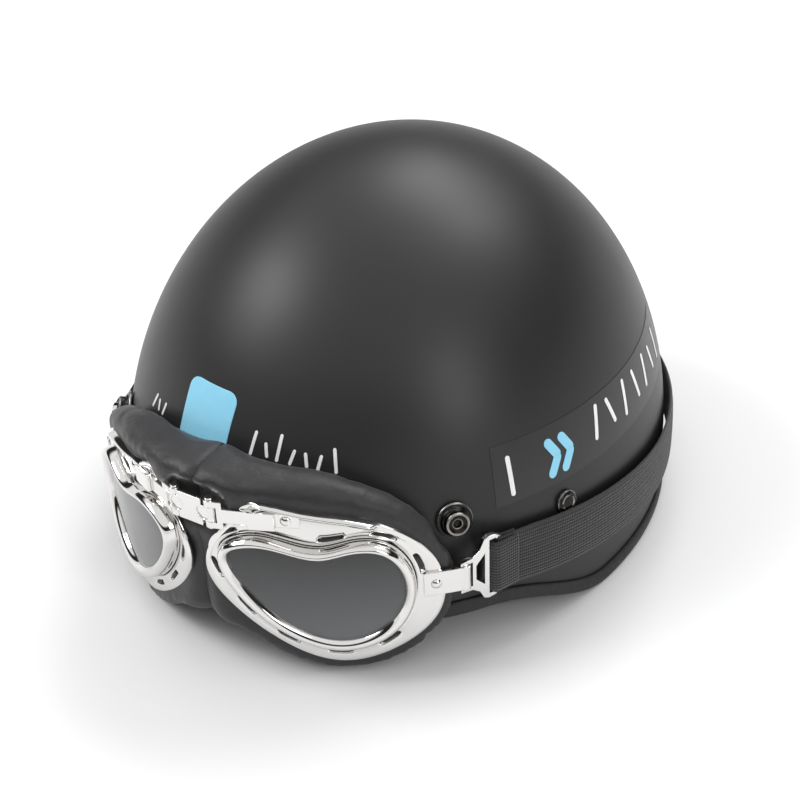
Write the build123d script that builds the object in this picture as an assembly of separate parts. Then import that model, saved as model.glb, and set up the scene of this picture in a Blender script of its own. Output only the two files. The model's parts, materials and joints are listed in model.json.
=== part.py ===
from build123d import *
from math import asin, atan2, cos, degrees, radians, sin, sqrt
import os

# Half helmet with aviator goggles strapped round it. Millimetres.
# +Z is up, the wearer faces -Y, and +X is the wearer's left.
# The model is drawn round the helmet's own middle and moved by CENTRE_SHIFT along Y when it is written,
# so that the origin is the middle of the whole box, on the surface that the helmet stands on.
CENTRE_SHIFT = 5.7

# ---------- driving dimensions: helmet ----------
HALF_WIDTH = 117.5        # shell, outside, along X
HALF_LENGTH = 134.5       # shell, outside, along Y
SKIRT = 27.0              # height of the upright lower wall
DOME = 142.0              # height of the dome above that wall
SHELL = 3.2               # shell thickness
FOAM_DEPTH = 25.0         # how far in from the shell's outside the foam reaches
PADDING_DEPTH = 34.0      # how far in the cloth lining reaches
BAND_HEIGHT = 46.0        # height of the lining's head band
CROWN_RADIUS = 58.0       # radius of the lining's crown pad
RIM_RISE = 20.0           # how much higher the rim is at the brow
RIM_BROW_Y = -85.0        # the raised rim starts to come down here
RIM_SIDE_Y = -25.0        # and meets the surface that the helmet stands on here
TRIM_LIP = 7.0            # height of the rubber edge trim
TRIM_WALL = 1.4
FAR = 400.0               # longer than anything in the model
STUD_AT = (80.5, 64.0)    # temple snap stud, across and up
RIVET_AT = (107.0, 54.3)  # chin strap rivet, across and up
STUD_SHANK = 2.0
RIVET_SHANK = 2.2

# ---------- driving dimensions: chin strap ----------
WEB_WIDTH = 20.0
WEB = 1.6                 # webbing thickness
WEB_X = 96.8              # the webbing hangs here, inside the shell
WEB_BEND = 15.0
WEB_LIE = 4.6             # height of the middle of the webbing that lies across the opening
HOUSING = (34.0, 26.0, 9.0)
HOUSING_X = 24.0          # middle of the buckle housing
TONGUE_IN = 20.0          # how far the tongue reaches into the housing
TONGUE_TRAVEL_ROOM = 28.0
LADDER_X = 59.0           # middle of the ladder lock
CHIN_PAD = (32.0, 25.0, 8.6)
CHIN_PAD_X = -54.0

# ---------- driving dimensions: goggles ----------
PIN_X = 8.2               # bridge pins, either side of the middle
PIN_Y = -146.7
PIN_Z = 78.1
PIN_RADIUS = 1.0
KNUCKLE = 2.3             # outer radius of the bridge hinge knuckles
KNUCKLE_SPLIT = 3.3       # the plate's knuckle is inside this height, the arm's are outside it
BRIDGE_HALF = 6.1         # half height of the bridge plate
RUNNING = 0.05            # radial clearance of each hinge
CHORD = 30.0              # degrees that each eye frame turns back from straight across
WRAP = 190.0              # radius that each eye frame is bent to, about an upright axis
MID = 43.0                # distance from pin to the middle of that bend
FRAME_BACK = -1.5         # back face of the eye frame, in front of the pin's middle
FRAME = 2.0               # eye frame thickness
BEZEL = 7.5               # depth of the bezel from the frame's back
LENS_BACK = 3.0           # lens faces, from the frame's back
LENS_FRONT = 5.0
LENS_EDGE = 1.2           # how far the lens reaches into the bezel's groove
PAD_GAP = 1.8             # face pad to shell, which leaves room for the edge trim
SEAT = 0.3                # face pad to frame
ARM_HALF = 3.1            # half height of the bridge arm
ARM_LENGTH = 33.7
ARM_LOW = 0.55            # bridge arm's layer, in front of the pin's middle
ARM_HIGH = 2.15
KEEPER_AT = (14.5, 24.5)
ARM_RIVET_X = 28.8
CLIP_Y = -34.0            # height of temple clip, loop and strap below the pins
CLIP_HALF = 5.5
CLIP_START = 78.6
TEMPLE_RIVET_X = 82.9
HINGE_AT = 94.2           # loop hinge, along the frame from the bridge pin
LOOP_BAR = 1.2            # radius of the loop's hinge bar
LOOP_CHORD = 62.8         # direction of the loop at rest, in line with the pull of the strap
ROD_AT = 14.3             # rod that the strap is sewn round, from the loop's hinge
ROD_RADIUS = 1.1
SLOT_COUNT = 11           # lacing slots round each lens
SLOT = (8.0, 1.8)
SLOT_OUT = 3.0            # slot's middle to the bezel

# ---------- driving dimensions: elastic strap ----------
STRAP = 2.0               # thickness
STRAP_LIFT = 2.2          # gap under the strap, which the slider's bars take up
STRAP_HALF = 12.5
STRAP_LINE = [(-160.0, 51.4), (20.0, 32.4), (160.0, 26.0)]  # the strap's middle: Y and height
STRAP_JOIN = 20.0         # the side lengths end and the rear length starts at this Y
STRAP_END = 8.0           # doubled length sewn round the rod
SLIDER = (22.0, 14.6)     # length, half height

# Eye outlines, along the frame from the bridge pin, and up from the pin's middle.
LENS_OUTLINE = [(7.4, -15.0), (17.0, -11.8), (28.5, -13.9), (40.5, -16.6), (52.0, -13.9), (62.0, -15.0),
                (69.5, -24.5), (70.6, -37.5), (62.5, -50.8), (46.0, -56.4), (30.0, -50.8), (14.5, -36.0)]
BEZEL_OUTLINE = [(3.3, -13.2), (14.0, -8.0), (28.0, -10.4), (40.5, -13.0), (52.5, -10.2), (64.5, -11.8),
                 (73.8, -23.0), (75.2, -38.5), (66.8, -54.6), (45.6, -62.2), (26.8, -55.0), (10.4, -39.5)]
FRAME_OUTLINE = [(-0.4, -12.0), (7.6, -1.5), (13.5, 5.7), (30.0, 5.0), (47.0, 1.6), (63.0, -3.2),
                 (77.5, -14.0), (86.2, -30.0), (84.4, -49.5), (70.0, -63.8), (44.5, -70.4), (21.0, -59.8),
                 (3.5, -43.5), (-4.6, -27.0)]
PAD_OUTLINE = [(-14.0, 14.0), (10.0, 15.2), (36.0, 13.8), (60.0, 7.6), (79.0, -5.0), (90.2, -24.0),
               (89.6, -50.0), (76.0, -68.5), (46.0, -77.4), (20.0, -69.5), (2.0, -58.0), (-14.0, -54.0)]
PAD_HOLE = [(10.0, -18.0), (40.0, -19.5), (64.0, -18.0), (69.0, -37.0), (60.0, -49.5), (45.5, -54.0),
            (31.0, -49.0), (16.0, -35.0)]
# Half of the strap loop's outline, from its hinge: outward along the strap, and up.
LOOP_HALF = [(-2.4, 5.8), (-2.4, 7.2), (3.0, 7.8), (6.2, 10.2), (8.2, 14.2), (10.4, 15.2), (13.4, 14.9),
             (15.4, 13.4), (15.4, 0.0), (3.0, 0.0), (3.0, 5.8)]


# ---------- helpers ----------
def dome(offset):
    """The solid inside the shell's outer surface, when that surface is moved outward by offset."""
    reach = HALF_LENGTH + offset
    rise = DOME + offset
    outline = [
        Line((0, -FAR / 4), (reach, -FAR / 4)),
        Line((reach, -FAR / 4), (reach, SKIRT)),
        EllipticalCenterArc((0, SKIRT), reach, rise, start_angle=0, arc_size=90),
        Line((0, SKIRT + rise), (0, -FAR / 4)),
    ]
    half = make_face(Plane.XZ * Wire(outline))
    return scale(revolve(half, Axis.Z), by=((HALF_WIDTH + offset) / reach, 1, 1))


def below_rim(raised):
    """Everything below the rim's line when that line is raised. The rim is high at the brow."""
    high = RIM_RISE + raised
    outline = [
        Line((-FAR, -FAR / 2), (-FAR, high)),
        Line((-FAR, high), (RIM_BROW_Y, high)),
        Spline([(RIM_BROW_Y, high), (RIM_SIDE_Y, raised)], tangents=[(1, 0), (1, 0)]),
        Line((RIM_SIDE_Y, raised), (FAR, raised)),
        Line((FAR, raised), (FAR, -FAR / 2)),
        Line((FAR, -FAR / 2), (-FAR, -FAR / 2)),
    ]
    return extrude(make_face(Plane.YZ * Wire(outline)), FAR / 2, both=True)


def skin_plane(x, z):
    """The plane that lies on the shell's outside at x and z, on the front half."""
    level = max(0.0, z - SKIRT) / DOME
    y = -HALF_LENGTH * sqrt(1 - level**2 - (x / HALF_WIDTH) ** 2)
    return Plane(origin=(x, y, z), z_dir=(x / HALF_WIDTH**2, y / HALF_LENGTH**2, level / DOME))


def box_between(low, high):
    size = [b - a for a, b in zip(low, high)]
    middle = [(a + b) / 2 for a, b in zip(low, high)]
    return Pos(*middle) * Box(*size)


def rectangle_between(low, high):
    size = [b - a for a, b in zip(low, high)]
    middle = [(a + b) / 2 for a, b in zip(low, high)]
    return Pos(*middle) * Rectangle(*size)


def smooth_face(points):
    return make_face(Spline(points, periodic=True))


def standing(plane, radius, bottom, top):
    """A cylinder along the plane's z from bottom to top."""
    return plane * Pos(0, 0, (bottom + top) / 2) * Cylinder(radius, top - bottom)


def upright(plane, radius, bottom, top):
    """A cylinder along the plane's y from bottom to top."""
    return plane * Pos(0, (bottom + top) / 2, 0) * Rot(90, 0, 0) * Cylinder(radius, top - bottom)


def outline_spot(face, share):
    """A point on a smooth face's edge at a share of its length, the way along it, and the way outward."""
    edge = face.face().outer_wire()
    spot = edge.position_at(share)
    way = edge.tangent_at(share)
    outward = Vector(way.Y, -way.X)
    if face.face().is_inside(spot + outward * 0.5):
        outward = -outward
    return spot, way, outward


def grown(face, amount):
    """A smooth face with its edge moved outward by amount."""
    steps = 32
    spots = [outline_spot(face, step / steps) for step in range(steps)]
    return smooth_face([tuple(spot + outward * amount)[:2] for spot, way, outward in spots])


def add_pair(name, shape):
    """A part on the wearer's left, and its mirror image on the right."""
    parts[name + "_left"] = shape
    parts[name + "_right"] = mirror(shape, Plane.YZ)


parts = {}

# ---------- helmet shell, rubber edge, foam and lining ----------
TRIM_FLOOR = 0.2          # shell's edge to the bottom of the trim's channel
FOAM_RAISE = 1.0          # foam's lower edge above the trim
LINING_DROP = 2.0         # the head band hangs this much lower than the trim's top
WASHER = (5.0, 0.9)       # stud washer inside the shell: radius, thickness

shell = dome(0) - dome(-SHELL) - below_rim(TRIM_WALL + TRIM_FLOOR)
foam = dome(-SHELL - 0.3) - dome(-FOAM_DEPTH) - below_rim(TRIM_LIP + FOAM_RAISE)
stud_plane = skin_plane(*STUD_AT)
rivet_plane = skin_plane(*RIVET_AT)
web_y = rivet_plane.origin.Y
rivet_axis = Plane(origin=rivet_plane.origin, z_dir=(1, 0, 0))

stud_hole = standing(stud_plane, STUD_SHANK + RUNNING, -8, 8)
rivet_hole = standing(rivet_axis, RIVET_SHANK + RUNNING, -8, 8)
stud_pocket = standing(stud_plane, WASHER[0] + 1.0, -SHELL - 3.0, 0)
web_slot = box_between((WEB_X - 6.5, web_y - 12.5, 0), (WEB_X + 12, web_y + 12.5, RIVET_AT[1] + 12))
for cutter in (stud_hole, rivet_hole):
    shell = shell - cutter - mirror(cutter, Plane.YZ)
for cutter in (stud_pocket, web_slot):
    foam = foam - cutter - mirror(cutter, Plane.YZ)

trim = (dome(TRIM_WALL) - dome(-SHELL - TRIM_WALL)) & (below_rim(TRIM_LIP) - below_rim(0))
trim = trim - (dome(0.15) - dome(-SHELL - 0.15) - below_rim(TRIM_WALL))

lining = dome(-FOAM_DEPTH - 0.3) - dome(-PADDING_DEPTH)
band_bottom = TRIM_LIP - LINING_DROP
head_band = lining & (below_rim(band_bottom + BAND_HEIGHT) - below_rim(band_bottom))
crown_pad = lining & (Pos(0, 0, SKIRT + DOME) * Cylinder(CROWN_RADIUS, DOME))

parts["outer_shell"] = shell
parts["edge_trim"] = trim
parts["impact_foam"] = foam
parts["head_band"] = head_band
parts["crown_pad"] = crown_pad

# ---------- temple snap studs: base flange, step and post with a socket ----------
stud = standing(stud_plane, 7.4, 0.45, 1.8) + standing(stud_plane, 5.7, 1.6, 2.8)
stud += standing(stud_plane, 4.8, 2.6, 5.4)
stud += standing(stud_plane, STUD_SHANK, -SHELL - 1.0, 1.0)
stud += standing(stud_plane, WASHER[0], -SHELL - 0.6 - WASHER[1], -SHELL - 0.6)
stud -= standing(stud_plane, 1.7, 2.8, 7.0)
add_pair("snap_stud", stud)

# ---------- chin strap rivets: head outside, shoulder, and a burr inside the webbing ----------
rivet = standing(rivet_plane, 4.9, 0.45, 1.4) + standing(rivet_plane, 3.4, 1.2, 2.2)
inner_face = WEB_X - WEB / 2 - RIVET_AT[0]
outer_face = WEB_X + WEB / 2 - RIVET_AT[0]
rivet += standing(rivet_axis, RIVET_SHANK, inner_face - 1.0, 1.0)
rivet += standing(rivet_axis, RIVET_SHANK + 1.6, outer_face + 0.1, outer_face + 1.6)
rivet += standing(rivet_axis, RIVET_SHANK + 1.6, inner_face - 1.5, inner_face - 0.1)
add_pair("strap_rivet", rivet)

# ---------- chin strap: two webbings and a quick release buckle, folded across the opening ----------
housing_start = HOUSING_X - HOUSING[0] / 2
housing_end = HOUSING_X + HOUSING[0] / 2
tongue_end = housing_start - 16.0
ring_end = tongue_end - 3.0


def across(low, high, half, bottom, top):
    """A block across the opening, centred on the webbing: X from low to high, Z about the webbing."""
    return box_between((low, web_y - half, WEB_LIE + bottom), (high, web_y + half, WEB_LIE + top))


def webbing(inner_x):
    """One webbing: down from the rivet, round a bend and level across to inner_x."""
    path = Wire([
        Line((WEB_X, RIVET_AT[1] + 6), (WEB_X, WEB_LIE + WEB_BEND)),
        CenterArc((WEB_X - WEB_BEND, WEB_LIE + WEB_BEND), WEB_BEND, 0, -90),
        Line((WEB_X - WEB_BEND, WEB_LIE), (inner_x, WEB_LIE)),
    ])
    ribbon = trace(path, WEB)
    band = extrude(Plane.XZ * ribbon, WEB_WIDTH / 2, both=True)
    return Pos(0, web_y, 0) * band - standing(rivet_axis, RIVET_SHANK + 0.3, -20, 0)


parts["chin_strap_left"] = webbing(housing_end - 4.0)
parts["chin_strap_right"] = mirror(webbing(-ring_end), Plane.YZ)

housing = Pos(HOUSING_X, web_y, WEB_LIE) * fillet(Box(*HOUSING).edges().filter_by(Axis.Y), 3.0)
housing -= across(housing_start - 1, housing_start + TONGUE_TRAVEL_ROOM, 9.2, -1.5, 1.5)
housing -= across(housing_start + 6, housing_start + 27, 7.2, 1.4, 9)
housing -= across(housing_end - 5, housing_end + 1, WEB_WIDTH / 2 + 0.3, -1.1, 1.1)
lever_axis = Plane(origin=(housing_start + 24, web_y, WEB_LIE + 3.0), z_dir=(0, 1, 0))
housing -= standing(lever_axis, PIN_RADIUS + 0.02, -11, 11)
lever = across(housing_start + 7, housing_start + 25.6, 6.7, 2.0, 4.6)
lever = fillet(lever.edges().filter_by(Axis.Y), 0.9) - standing(lever_axis, PIN_RADIUS + RUNNING, -11, 11)

tongue = across(tongue_end, housing_start - 0.4, 12, -1.2, 1.2)
tongue += across(housing_start - 1, housing_start + TONGUE_IN, 8.8, -1.2, 1.2)
tongue -= across(tongue_end + 4.4, tongue_end + 8, 10.3, -5, 5)
tongue -= across(housing_start + 8, housing_start + 14, 4, -5, 5)
# The webbing's end is sewn round the tongue's outer bar.
web_ring = across(ring_end, tongue_end + 6.3, WEB_WIDTH / 2, -2.9, 2.9)
web_ring = fillet(web_ring.edges().filter_by(Axis.Y), 1.5)
web_ring -= across(tongue_end - 1.2, tongue_end + 4.5, WEB_WIDTH, -1.3, 1.3)

ladder = across(LADDER_X - 9, LADDER_X + 9, 13, -3.0, 3.0)
ladder = fillet(ladder.edges().filter_by(Axis.Y), 1.4)
ladder -= across(LADDER_X - 12, LADDER_X + 12, WEB_WIDTH / 2 + 0.6, -1.2, 1.2)
for x in (LADDER_X - 4.5, LADDER_X + 4.5):
    ladder -= across(x - 1.6, x + 1.6, WEB_WIDTH / 2 + 0.6, 0, 9)

chin_pad = fillet(Box(*CHIN_PAD).edges().filter_by(Axis.X), 3.0)
chin_pad = Pos(CHIN_PAD_X, web_y, 0.6 + CHIN_PAD[2] / 2) * chin_pad
chin_pad -= across(CHIN_PAD_X - 30, CHIN_PAD_X + 30, WEB_WIDTH / 2 + 0.5, -1.2, 1.2)

parts["chin_buckle_housing"] = housing
parts["chin_buckle_lever"] = lever
parts["chin_buckle_pin"] = standing(lever_axis, PIN_RADIUS, -10.5, 10.5)
parts["chin_buckle_tongue"] = tongue
parts["chin_strap_ring"] = web_ring
parts["chin_ladder_lock"] = ladder
parts["chin_pad"] = chin_pad

# ---------- the eye's own plane: x from the pin to the temple, y up, z outward ----------
EYE = Plane(origin=(PIN_X, PIN_Y, PIN_Z), x_dir=(cos(radians(CHORD)), sin(radians(CHORD)), 0),
            z_dir=(sin(radians(CHORD)), -cos(radians(CHORD)), 0))
BEND_DEPTH = sqrt(WRAP**2 - MID**2)


def bent_drum(out):
    """The cylinder that an eye frame is bent to, at a distance in front of the pin's middle."""
    return EYE * Pos(MID, -30, -BEND_DEPTH) * Rot(90, 0, 0) * Cylinder(WRAP + out, 160)


def bent(face, low, high):
    """A face of the eye's plane as a bent plate between two distances in front of the pin's middle."""
    column = EYE * Pos(0, 0, -60) * extrude(face, 90)
    return (column & bent_drum(high)) - bent_drum(low)


def eye_spot(along, out=0.0, up=0.0):
    """The plane that lies on the bent plate at a distance along it: x to the temple, z outward."""
    turn = asin((along - MID) / WRAP)
    chord = radians(CHORD) + turn
    place = (along + out * sin(turn), up, (WRAP + out) * cos(turn) - BEND_DEPTH)
    return Plane(origin=EYE.from_local_coords(place), x_dir=(cos(chord), sin(chord), 0),
                 z_dir=(sin(chord), -cos(chord), 0))


pin_plane = Plane(origin=(PIN_X, PIN_Y, PIN_Z), x_dir=(1, 0, 0), z_dir=(0, -1, 0))
pin_hole = upright(pin_plane, PIN_RADIUS + RUNNING, -20, 20)

# ---------- eye frame, bezel, lens ----------
lens_face = smooth_face(LENS_OUTLINE)
bezel_face = smooth_face(BEZEL_OUTLINE)
frame_face = smooth_face(FRAME_OUTLINE)
frame_front = FRAME_BACK + FRAME
LIP = (1.3, 2.2)          # raised lip along the top of the frame: width, height

frame = bent(frame_face - grown(bezel_face, 0.2), FRAME_BACK, frame_front)
lip_face = (rectangle_between((11, -4), (62, 9)) & frame_face) - Pos(0, -LIP[0]) * frame_face
lip_face -= rectangle_between((0, -10), (ARM_LENGTH + 1, ARM_HALF + 0.2))
frame += bent(lip_face, frame_front - 0.3, frame_front + LIP[1])
bezel = bent(bezel_face - lens_face, FRAME_BACK, FRAME_BACK + BEZEL)
bezel -= bent(grown(lens_face, LENS_EDGE + 0.1), FRAME_BACK + LENS_BACK - 0.1, FRAME_BACK + LENS_FRONT + 0.1)
lens = bent(grown(lens_face, LENS_EDGE), FRAME_BACK + LENS_BACK, FRAME_BACK + LENS_FRONT)

lacing = []
for number in range(SLOT_COUNT):
    spot, way, outward = outline_spot(bezel_face, (number + 0.5) / SLOT_COUNT)
    middle = spot + outward * SLOT_OUT
    if abs(middle.Y - CLIP_Y) < SLOT[0] and middle.X > MID:
        continue
    where = Pos(middle.X, middle.Y) * Rot(0, 0, degrees(atan2(way.Y, way.X)))
    frame -= bent(where * SlotOverall(*SLOT), FRAME_BACK - 1, frame_front + 1)
    lacing.append(bent(where * SlotOverall(SLOT[0] - 0.3, SLOT[1] - 0.3), FRAME_BACK - 0.2, frame_front + 0.5))

# ---------- face pad: from the frame back to the shell, open behind the lens ----------
pad = bent(smooth_face(PAD_OUTLINE) - smooth_face(PAD_HOLE), -58, FRAME_BACK - SEAT)
pad -= dome(PAD_GAP)
pad -= box_between((-60, -FAR, -20), (PIN_X + 0.4, 0, FAR))
pad -= upright(pin_plane, KNUCKLE + 0.9, -BRIDGE_HALF - 2, BRIDGE_HALF + 40)
pad -= standing(stud_plane, 9.6, -2, 40)

# ---------- bridge arm, its keeper and rivet ----------
arm_face = rectangle_between((KNUCKLE + 0.3, -ARM_HALF), (ARM_LENGTH, ARM_HALF))
arm_face += rectangle_between((KNUCKLE + 0.3, -BRIDGE_HALF), (4.8, BRIDGE_HALF))
for low, high in ((KNUCKLE_SPLIT + 0.1, BRIDGE_HALF), (-BRIDGE_HALF, -KNUCKLE_SPLIT - 0.1)):
    arm_face += rectangle_between((0, low), (KNUCKLE + 0.5, high))
arm = bent(arm_face, ARM_LOW, ARM_HIGH)
for low, high in ((KNUCKLE_SPLIT + 0.1, BRIDGE_HALF), (-BRIDGE_HALF, -KNUCKLE_SPLIT - 0.1)):
    arm += upright(pin_plane, KNUCKLE, low, high)
arm -= pin_hole

keeper = bent(rectangle_between((KEEPER_AT[0], -ARM_HALF - 0.8), (KEEPER_AT[1], ARM_HALF + 0.8)), ARM_LOW, 3.5)
keeper -= bent(rectangle_between((0, -ARM_HALF - 0.05), (40, ARM_HALF + 0.05)), ARM_LOW - 1, ARM_HIGH + 0.05)


def rivet_set(along, up, seat):
    """A domed rivet through the eye frame, and the hole for it."""
    spot = eye_spot(along, 0, up)
    head = (spot * Pos(0, 0, seat - 1.2) * Sphere(2.5)) & standing(spot, 2.4, seat + 0.05, seat + 3)
    return standing(spot, 1.1, FRAME_BACK, seat + 0.3) + head, standing(spot, 1.15, FRAME_BACK - 1, seat + 3)


arm_rivet, arm_hole = rivet_set(ARM_RIVET_X, 0, ARM_HIGH)
arm -= arm_hole
frame -= arm_hole

# ---------- temple clip: a folded strip whose eye holds the loop's bar ----------
CLIP_LAYER = (0.6, 1.8)
CLIP_BARREL = 2.3
hinge = eye_spot(HINGE_AT, 0, CLIP_Y)
clip = bent(rectangle_between((CLIP_START, CLIP_Y - CLIP_HALF), (HINGE_AT, CLIP_Y + CLIP_HALF)), *CLIP_LAYER)
clip += upright(hinge, CLIP_BARREL, -CLIP_HALF, CLIP_HALF)
clip -= upright(hinge, LOOP_BAR + RUNNING, -20, 20)
temple_rivet, temple_hole = rivet_set(TEMPLE_RIVET_X, CLIP_Y, CLIP_LAYER[1])
clip -= temple_hole
frame -= temple_hole

add_pair("eye_frame", frame)
add_pair("lens_bezel", bezel)
add_pair("lens", lens)
add_pair("pad_lacing", Compound(lacing))
add_pair("face_pad", pad)
add_pair("bridge_arm", arm)
add_pair("arm_keeper", keeper)
add_pair("arm_rivet", arm_rivet)
add_pair("temple_clip", clip)
add_pair("temple_rivet", temple_rivet)

# ---------- bridge plate, pins and nose pad ----------
DIMPLE = (3.0, 0.5)
plate = box_between((-PIN_X + KNUCKLE + 0.3, -BRIDGE_HALF, 0.5), (PIN_X - KNUCKLE - 0.3, BRIDGE_HALF, 2.1))
plate += box_between((-PIN_X, -KNUCKLE_SPLIT, 0.5), (PIN_X, KNUCKLE_SPLIT, 2.1))
for x in (-PIN_X, PIN_X):
    plate += Pos(x, 0, 0) * Rot(90, 0, 0) * Cylinder(KNUCKLE, 2 * KNUCKLE_SPLIT)
for x in (-PIN_X, PIN_X):
    plate -= Pos(x, 0, 0) * Rot(90, 0, 0) * Cylinder(PIN_RADIUS + 0.03, 20)
    plate -= Pos(x * 0.76, 0, 2.1) * Cylinder(DIMPLE[0], 2 * DIMPLE[1])
bridge_face = Plane(origin=(0, PIN_Y, PIN_Z), x_dir=(1, 0, 0), z_dir=(0, -1, 0))
pin = upright(pin_plane, PIN_RADIUS, -BRIDGE_HALF - 0.3, BRIDGE_HALF + 0.3)
for end in (-1, 1):
    pin += upright(pin_plane, KNUCKLE - 0.7, *sorted((end * (BRIDGE_HALF + 0.15), end * (BRIDGE_HALF + 0.9))))
NOSE_FRONT = -141.5
nose_pad = box_between((-PIN_X + 0.4, NOSE_FRONT, PIN_Z - 54), (PIN_X - 0.4, -90, PIN_Z + 14.3))
parts["bridge_plate"] = bridge_face * plate
add_pair("bridge_pin", pin)
parts["nose_pad"] = nose_pad - dome(PAD_GAP)

# ---------- strap loop: hinge bar, stamped plate and the rod that the strap is sewn round ----------
loop_plane = Plane(origin=hinge.origin, x_dir=(cos(radians(LOOP_CHORD)), sin(radians(LOOP_CHORD)), 0),
                   z_dir=(sin(radians(LOOP_CHORD)), -cos(radians(LOOP_CHORD)), 0))
half_loop = make_face(Polyline(*LOOP_HALF, close=True))
loop_face = half_loop + mirror(half_loop, Plane.XZ)
loop_face -= make_face(Polyline((4.6, 3.4), (8.6, 7.6), (8.6, -7.6), (4.6, -3.4), close=True))
loop_face -= rectangle_between((10.7, -13.1), (20, 13.1))
loop = extrude(loop_face, 1.0, both=True)
loop += Pos(ROD_AT, 0, 0) * Rot(90, 0, 0) * Cylinder(ROD_RADIUS, 28)
loop += Rot(90, 0, 0) * Cylinder(LOOP_BAR, 13.4)
add_pair("strap_loop", loop_plane * loop)

# ---------- elastic strap: folded ends, side lengths and the length round the back ----------
line_up = [(y, z + STRAP_HALF) for y, z in STRAP_LINE]
line_down = [(y, z - STRAP_HALF) for y, z in reversed(STRAP_LINE)]
strap_band = extrude(make_face(Plane.YZ * Polyline(*line_up, *line_down, close=True)), FAR, both=True)


def strap_ring(low, high):
    """The space round the shell between two distances from it, all the way up."""
    outer = Ellipse(HALF_WIDTH + high, HALF_LENGTH + high)
    inner = Ellipse(HALF_WIDTH + low, HALF_LENGTH + low)
    return extrude(outer - inner, 90)


fold = Circle(ROD_RADIUS + 0.25 + STRAP) + rectangle_between((0, -STRAP), (STRAP_END, STRAP))
fold -= Circle(ROD_RADIUS + 0.25)
rod_in_plan = loop_plane.from_local_coords((ROD_AT, 0, 0))
fold_plane = Plane(origin=(rod_in_plan.X, rod_in_plan.Y, 0),
                   x_dir=(cos(radians(LOOP_CHORD)), sin(radians(LOOP_CHORD)), 0), z_dir=(0, 0, 1))
strap_end = extrude(fold_plane * fold, 90) & strap_band
straight = extrude(fold_plane * rectangle_between((STRAP_END + 0.3, -STRAP / 2), (18.5, STRAP / 2)), 90)
touch = fold_plane.from_local_coords((18.0, 0, 0))
side_region = box_between((0, touch.Y, 0), (FAR, STRAP_JOIN, 120))
strap_side = ((strap_ring(STRAP_LIFT, STRAP_LIFT + STRAP) & side_region) + straight) & strap_band
rear_region = box_between((-FAR, STRAP_JOIN + 0.3, 0), (FAR, FAR, 120))

SLIDER_PLATE = 1.4
SLIDER_ROOM = 0.5
slider_low = STRAP_LIFT - SLIDER_ROOM - 1.2
slider_high = STRAP_LIFT + STRAP + SLIDER_ROOM + SLIDER_PLATE
rear_height = STRAP_LINE[1][1] + (STRAP_LINE[2][1] - STRAP_LINE[1][1]) * (HALF_LENGTH - 20) / 140
slider = strap_ring(slider_low, slider_high) & box_between(
    (-SLIDER[0] / 2, 0, rear_height - SLIDER[1]), (SLIDER[0] / 2, FAR, rear_height + SLIDER[1]))
strap_space = STRAP_HALF + 0.8
slider -= strap_ring(STRAP_LIFT - SLIDER_ROOM, STRAP_LIFT + STRAP + SLIDER_ROOM) & box_between(
    (-30, 0, rear_height - strap_space), (30, FAR, rear_height + strap_space))
for x in (-5.0, 5.0):
    slider -= box_between((x - 2.6, HALF_LENGTH, rear_height - strap_space + 1),
                          (x + 2.6, FAR, rear_height + strap_space - 1))

add_pair("strap_end", strap_end)
add_pair("strap_side", strap_side)
parts["strap_back"] = strap_ring(STRAP_LIFT, STRAP_LIFT + STRAP) & rear_region & strap_band
parts["strap_slider"] = slider

# ---------- write the parts ----------
os.makedirs("parts", exist_ok=True)
for name, shape in parts.items():
    export_step(Pos(0, CENTRE_SHIFT, 0) * shape, f"parts/{name}.step")
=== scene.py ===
import bmesh
import bpy
import json
import math
import numpy as np
from mathutils import Matrix, Vector


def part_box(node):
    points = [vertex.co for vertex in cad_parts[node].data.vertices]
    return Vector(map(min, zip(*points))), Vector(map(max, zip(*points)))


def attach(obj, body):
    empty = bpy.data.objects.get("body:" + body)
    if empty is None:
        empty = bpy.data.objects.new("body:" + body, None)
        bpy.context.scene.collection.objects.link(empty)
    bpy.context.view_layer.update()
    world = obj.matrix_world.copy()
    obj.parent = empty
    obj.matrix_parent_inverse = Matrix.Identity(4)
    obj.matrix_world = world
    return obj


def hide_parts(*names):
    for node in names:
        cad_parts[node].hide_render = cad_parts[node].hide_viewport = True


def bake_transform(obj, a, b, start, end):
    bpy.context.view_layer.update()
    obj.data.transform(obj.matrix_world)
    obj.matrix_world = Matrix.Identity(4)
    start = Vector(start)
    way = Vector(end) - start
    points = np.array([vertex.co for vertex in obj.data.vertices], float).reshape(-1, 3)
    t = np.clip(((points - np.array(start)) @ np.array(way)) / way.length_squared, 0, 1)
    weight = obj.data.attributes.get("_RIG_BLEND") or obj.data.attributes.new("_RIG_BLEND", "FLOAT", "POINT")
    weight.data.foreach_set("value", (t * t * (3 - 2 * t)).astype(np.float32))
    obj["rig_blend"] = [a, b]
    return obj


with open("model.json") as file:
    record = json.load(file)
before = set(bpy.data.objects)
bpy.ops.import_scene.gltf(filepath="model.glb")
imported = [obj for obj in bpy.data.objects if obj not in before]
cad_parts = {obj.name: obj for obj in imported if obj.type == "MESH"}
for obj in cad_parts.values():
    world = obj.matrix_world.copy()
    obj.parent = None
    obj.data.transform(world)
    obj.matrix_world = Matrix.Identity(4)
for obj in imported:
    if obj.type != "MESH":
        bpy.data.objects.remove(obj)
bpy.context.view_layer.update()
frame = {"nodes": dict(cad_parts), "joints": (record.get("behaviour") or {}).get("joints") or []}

nodes = frame["nodes"]
joints = {joint["name"]: joint for joint in frame["joints"]}

# ---------------- sizes and places, in millimetres
MM = 0.001
TAU = 2 * math.pi


def node_box(name):
    low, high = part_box(name)
    return np.array(low) / MM, np.array(high) / MM


def joint_place(name):
    return np.array(joints[name]["pos_m"]) / MM


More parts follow.
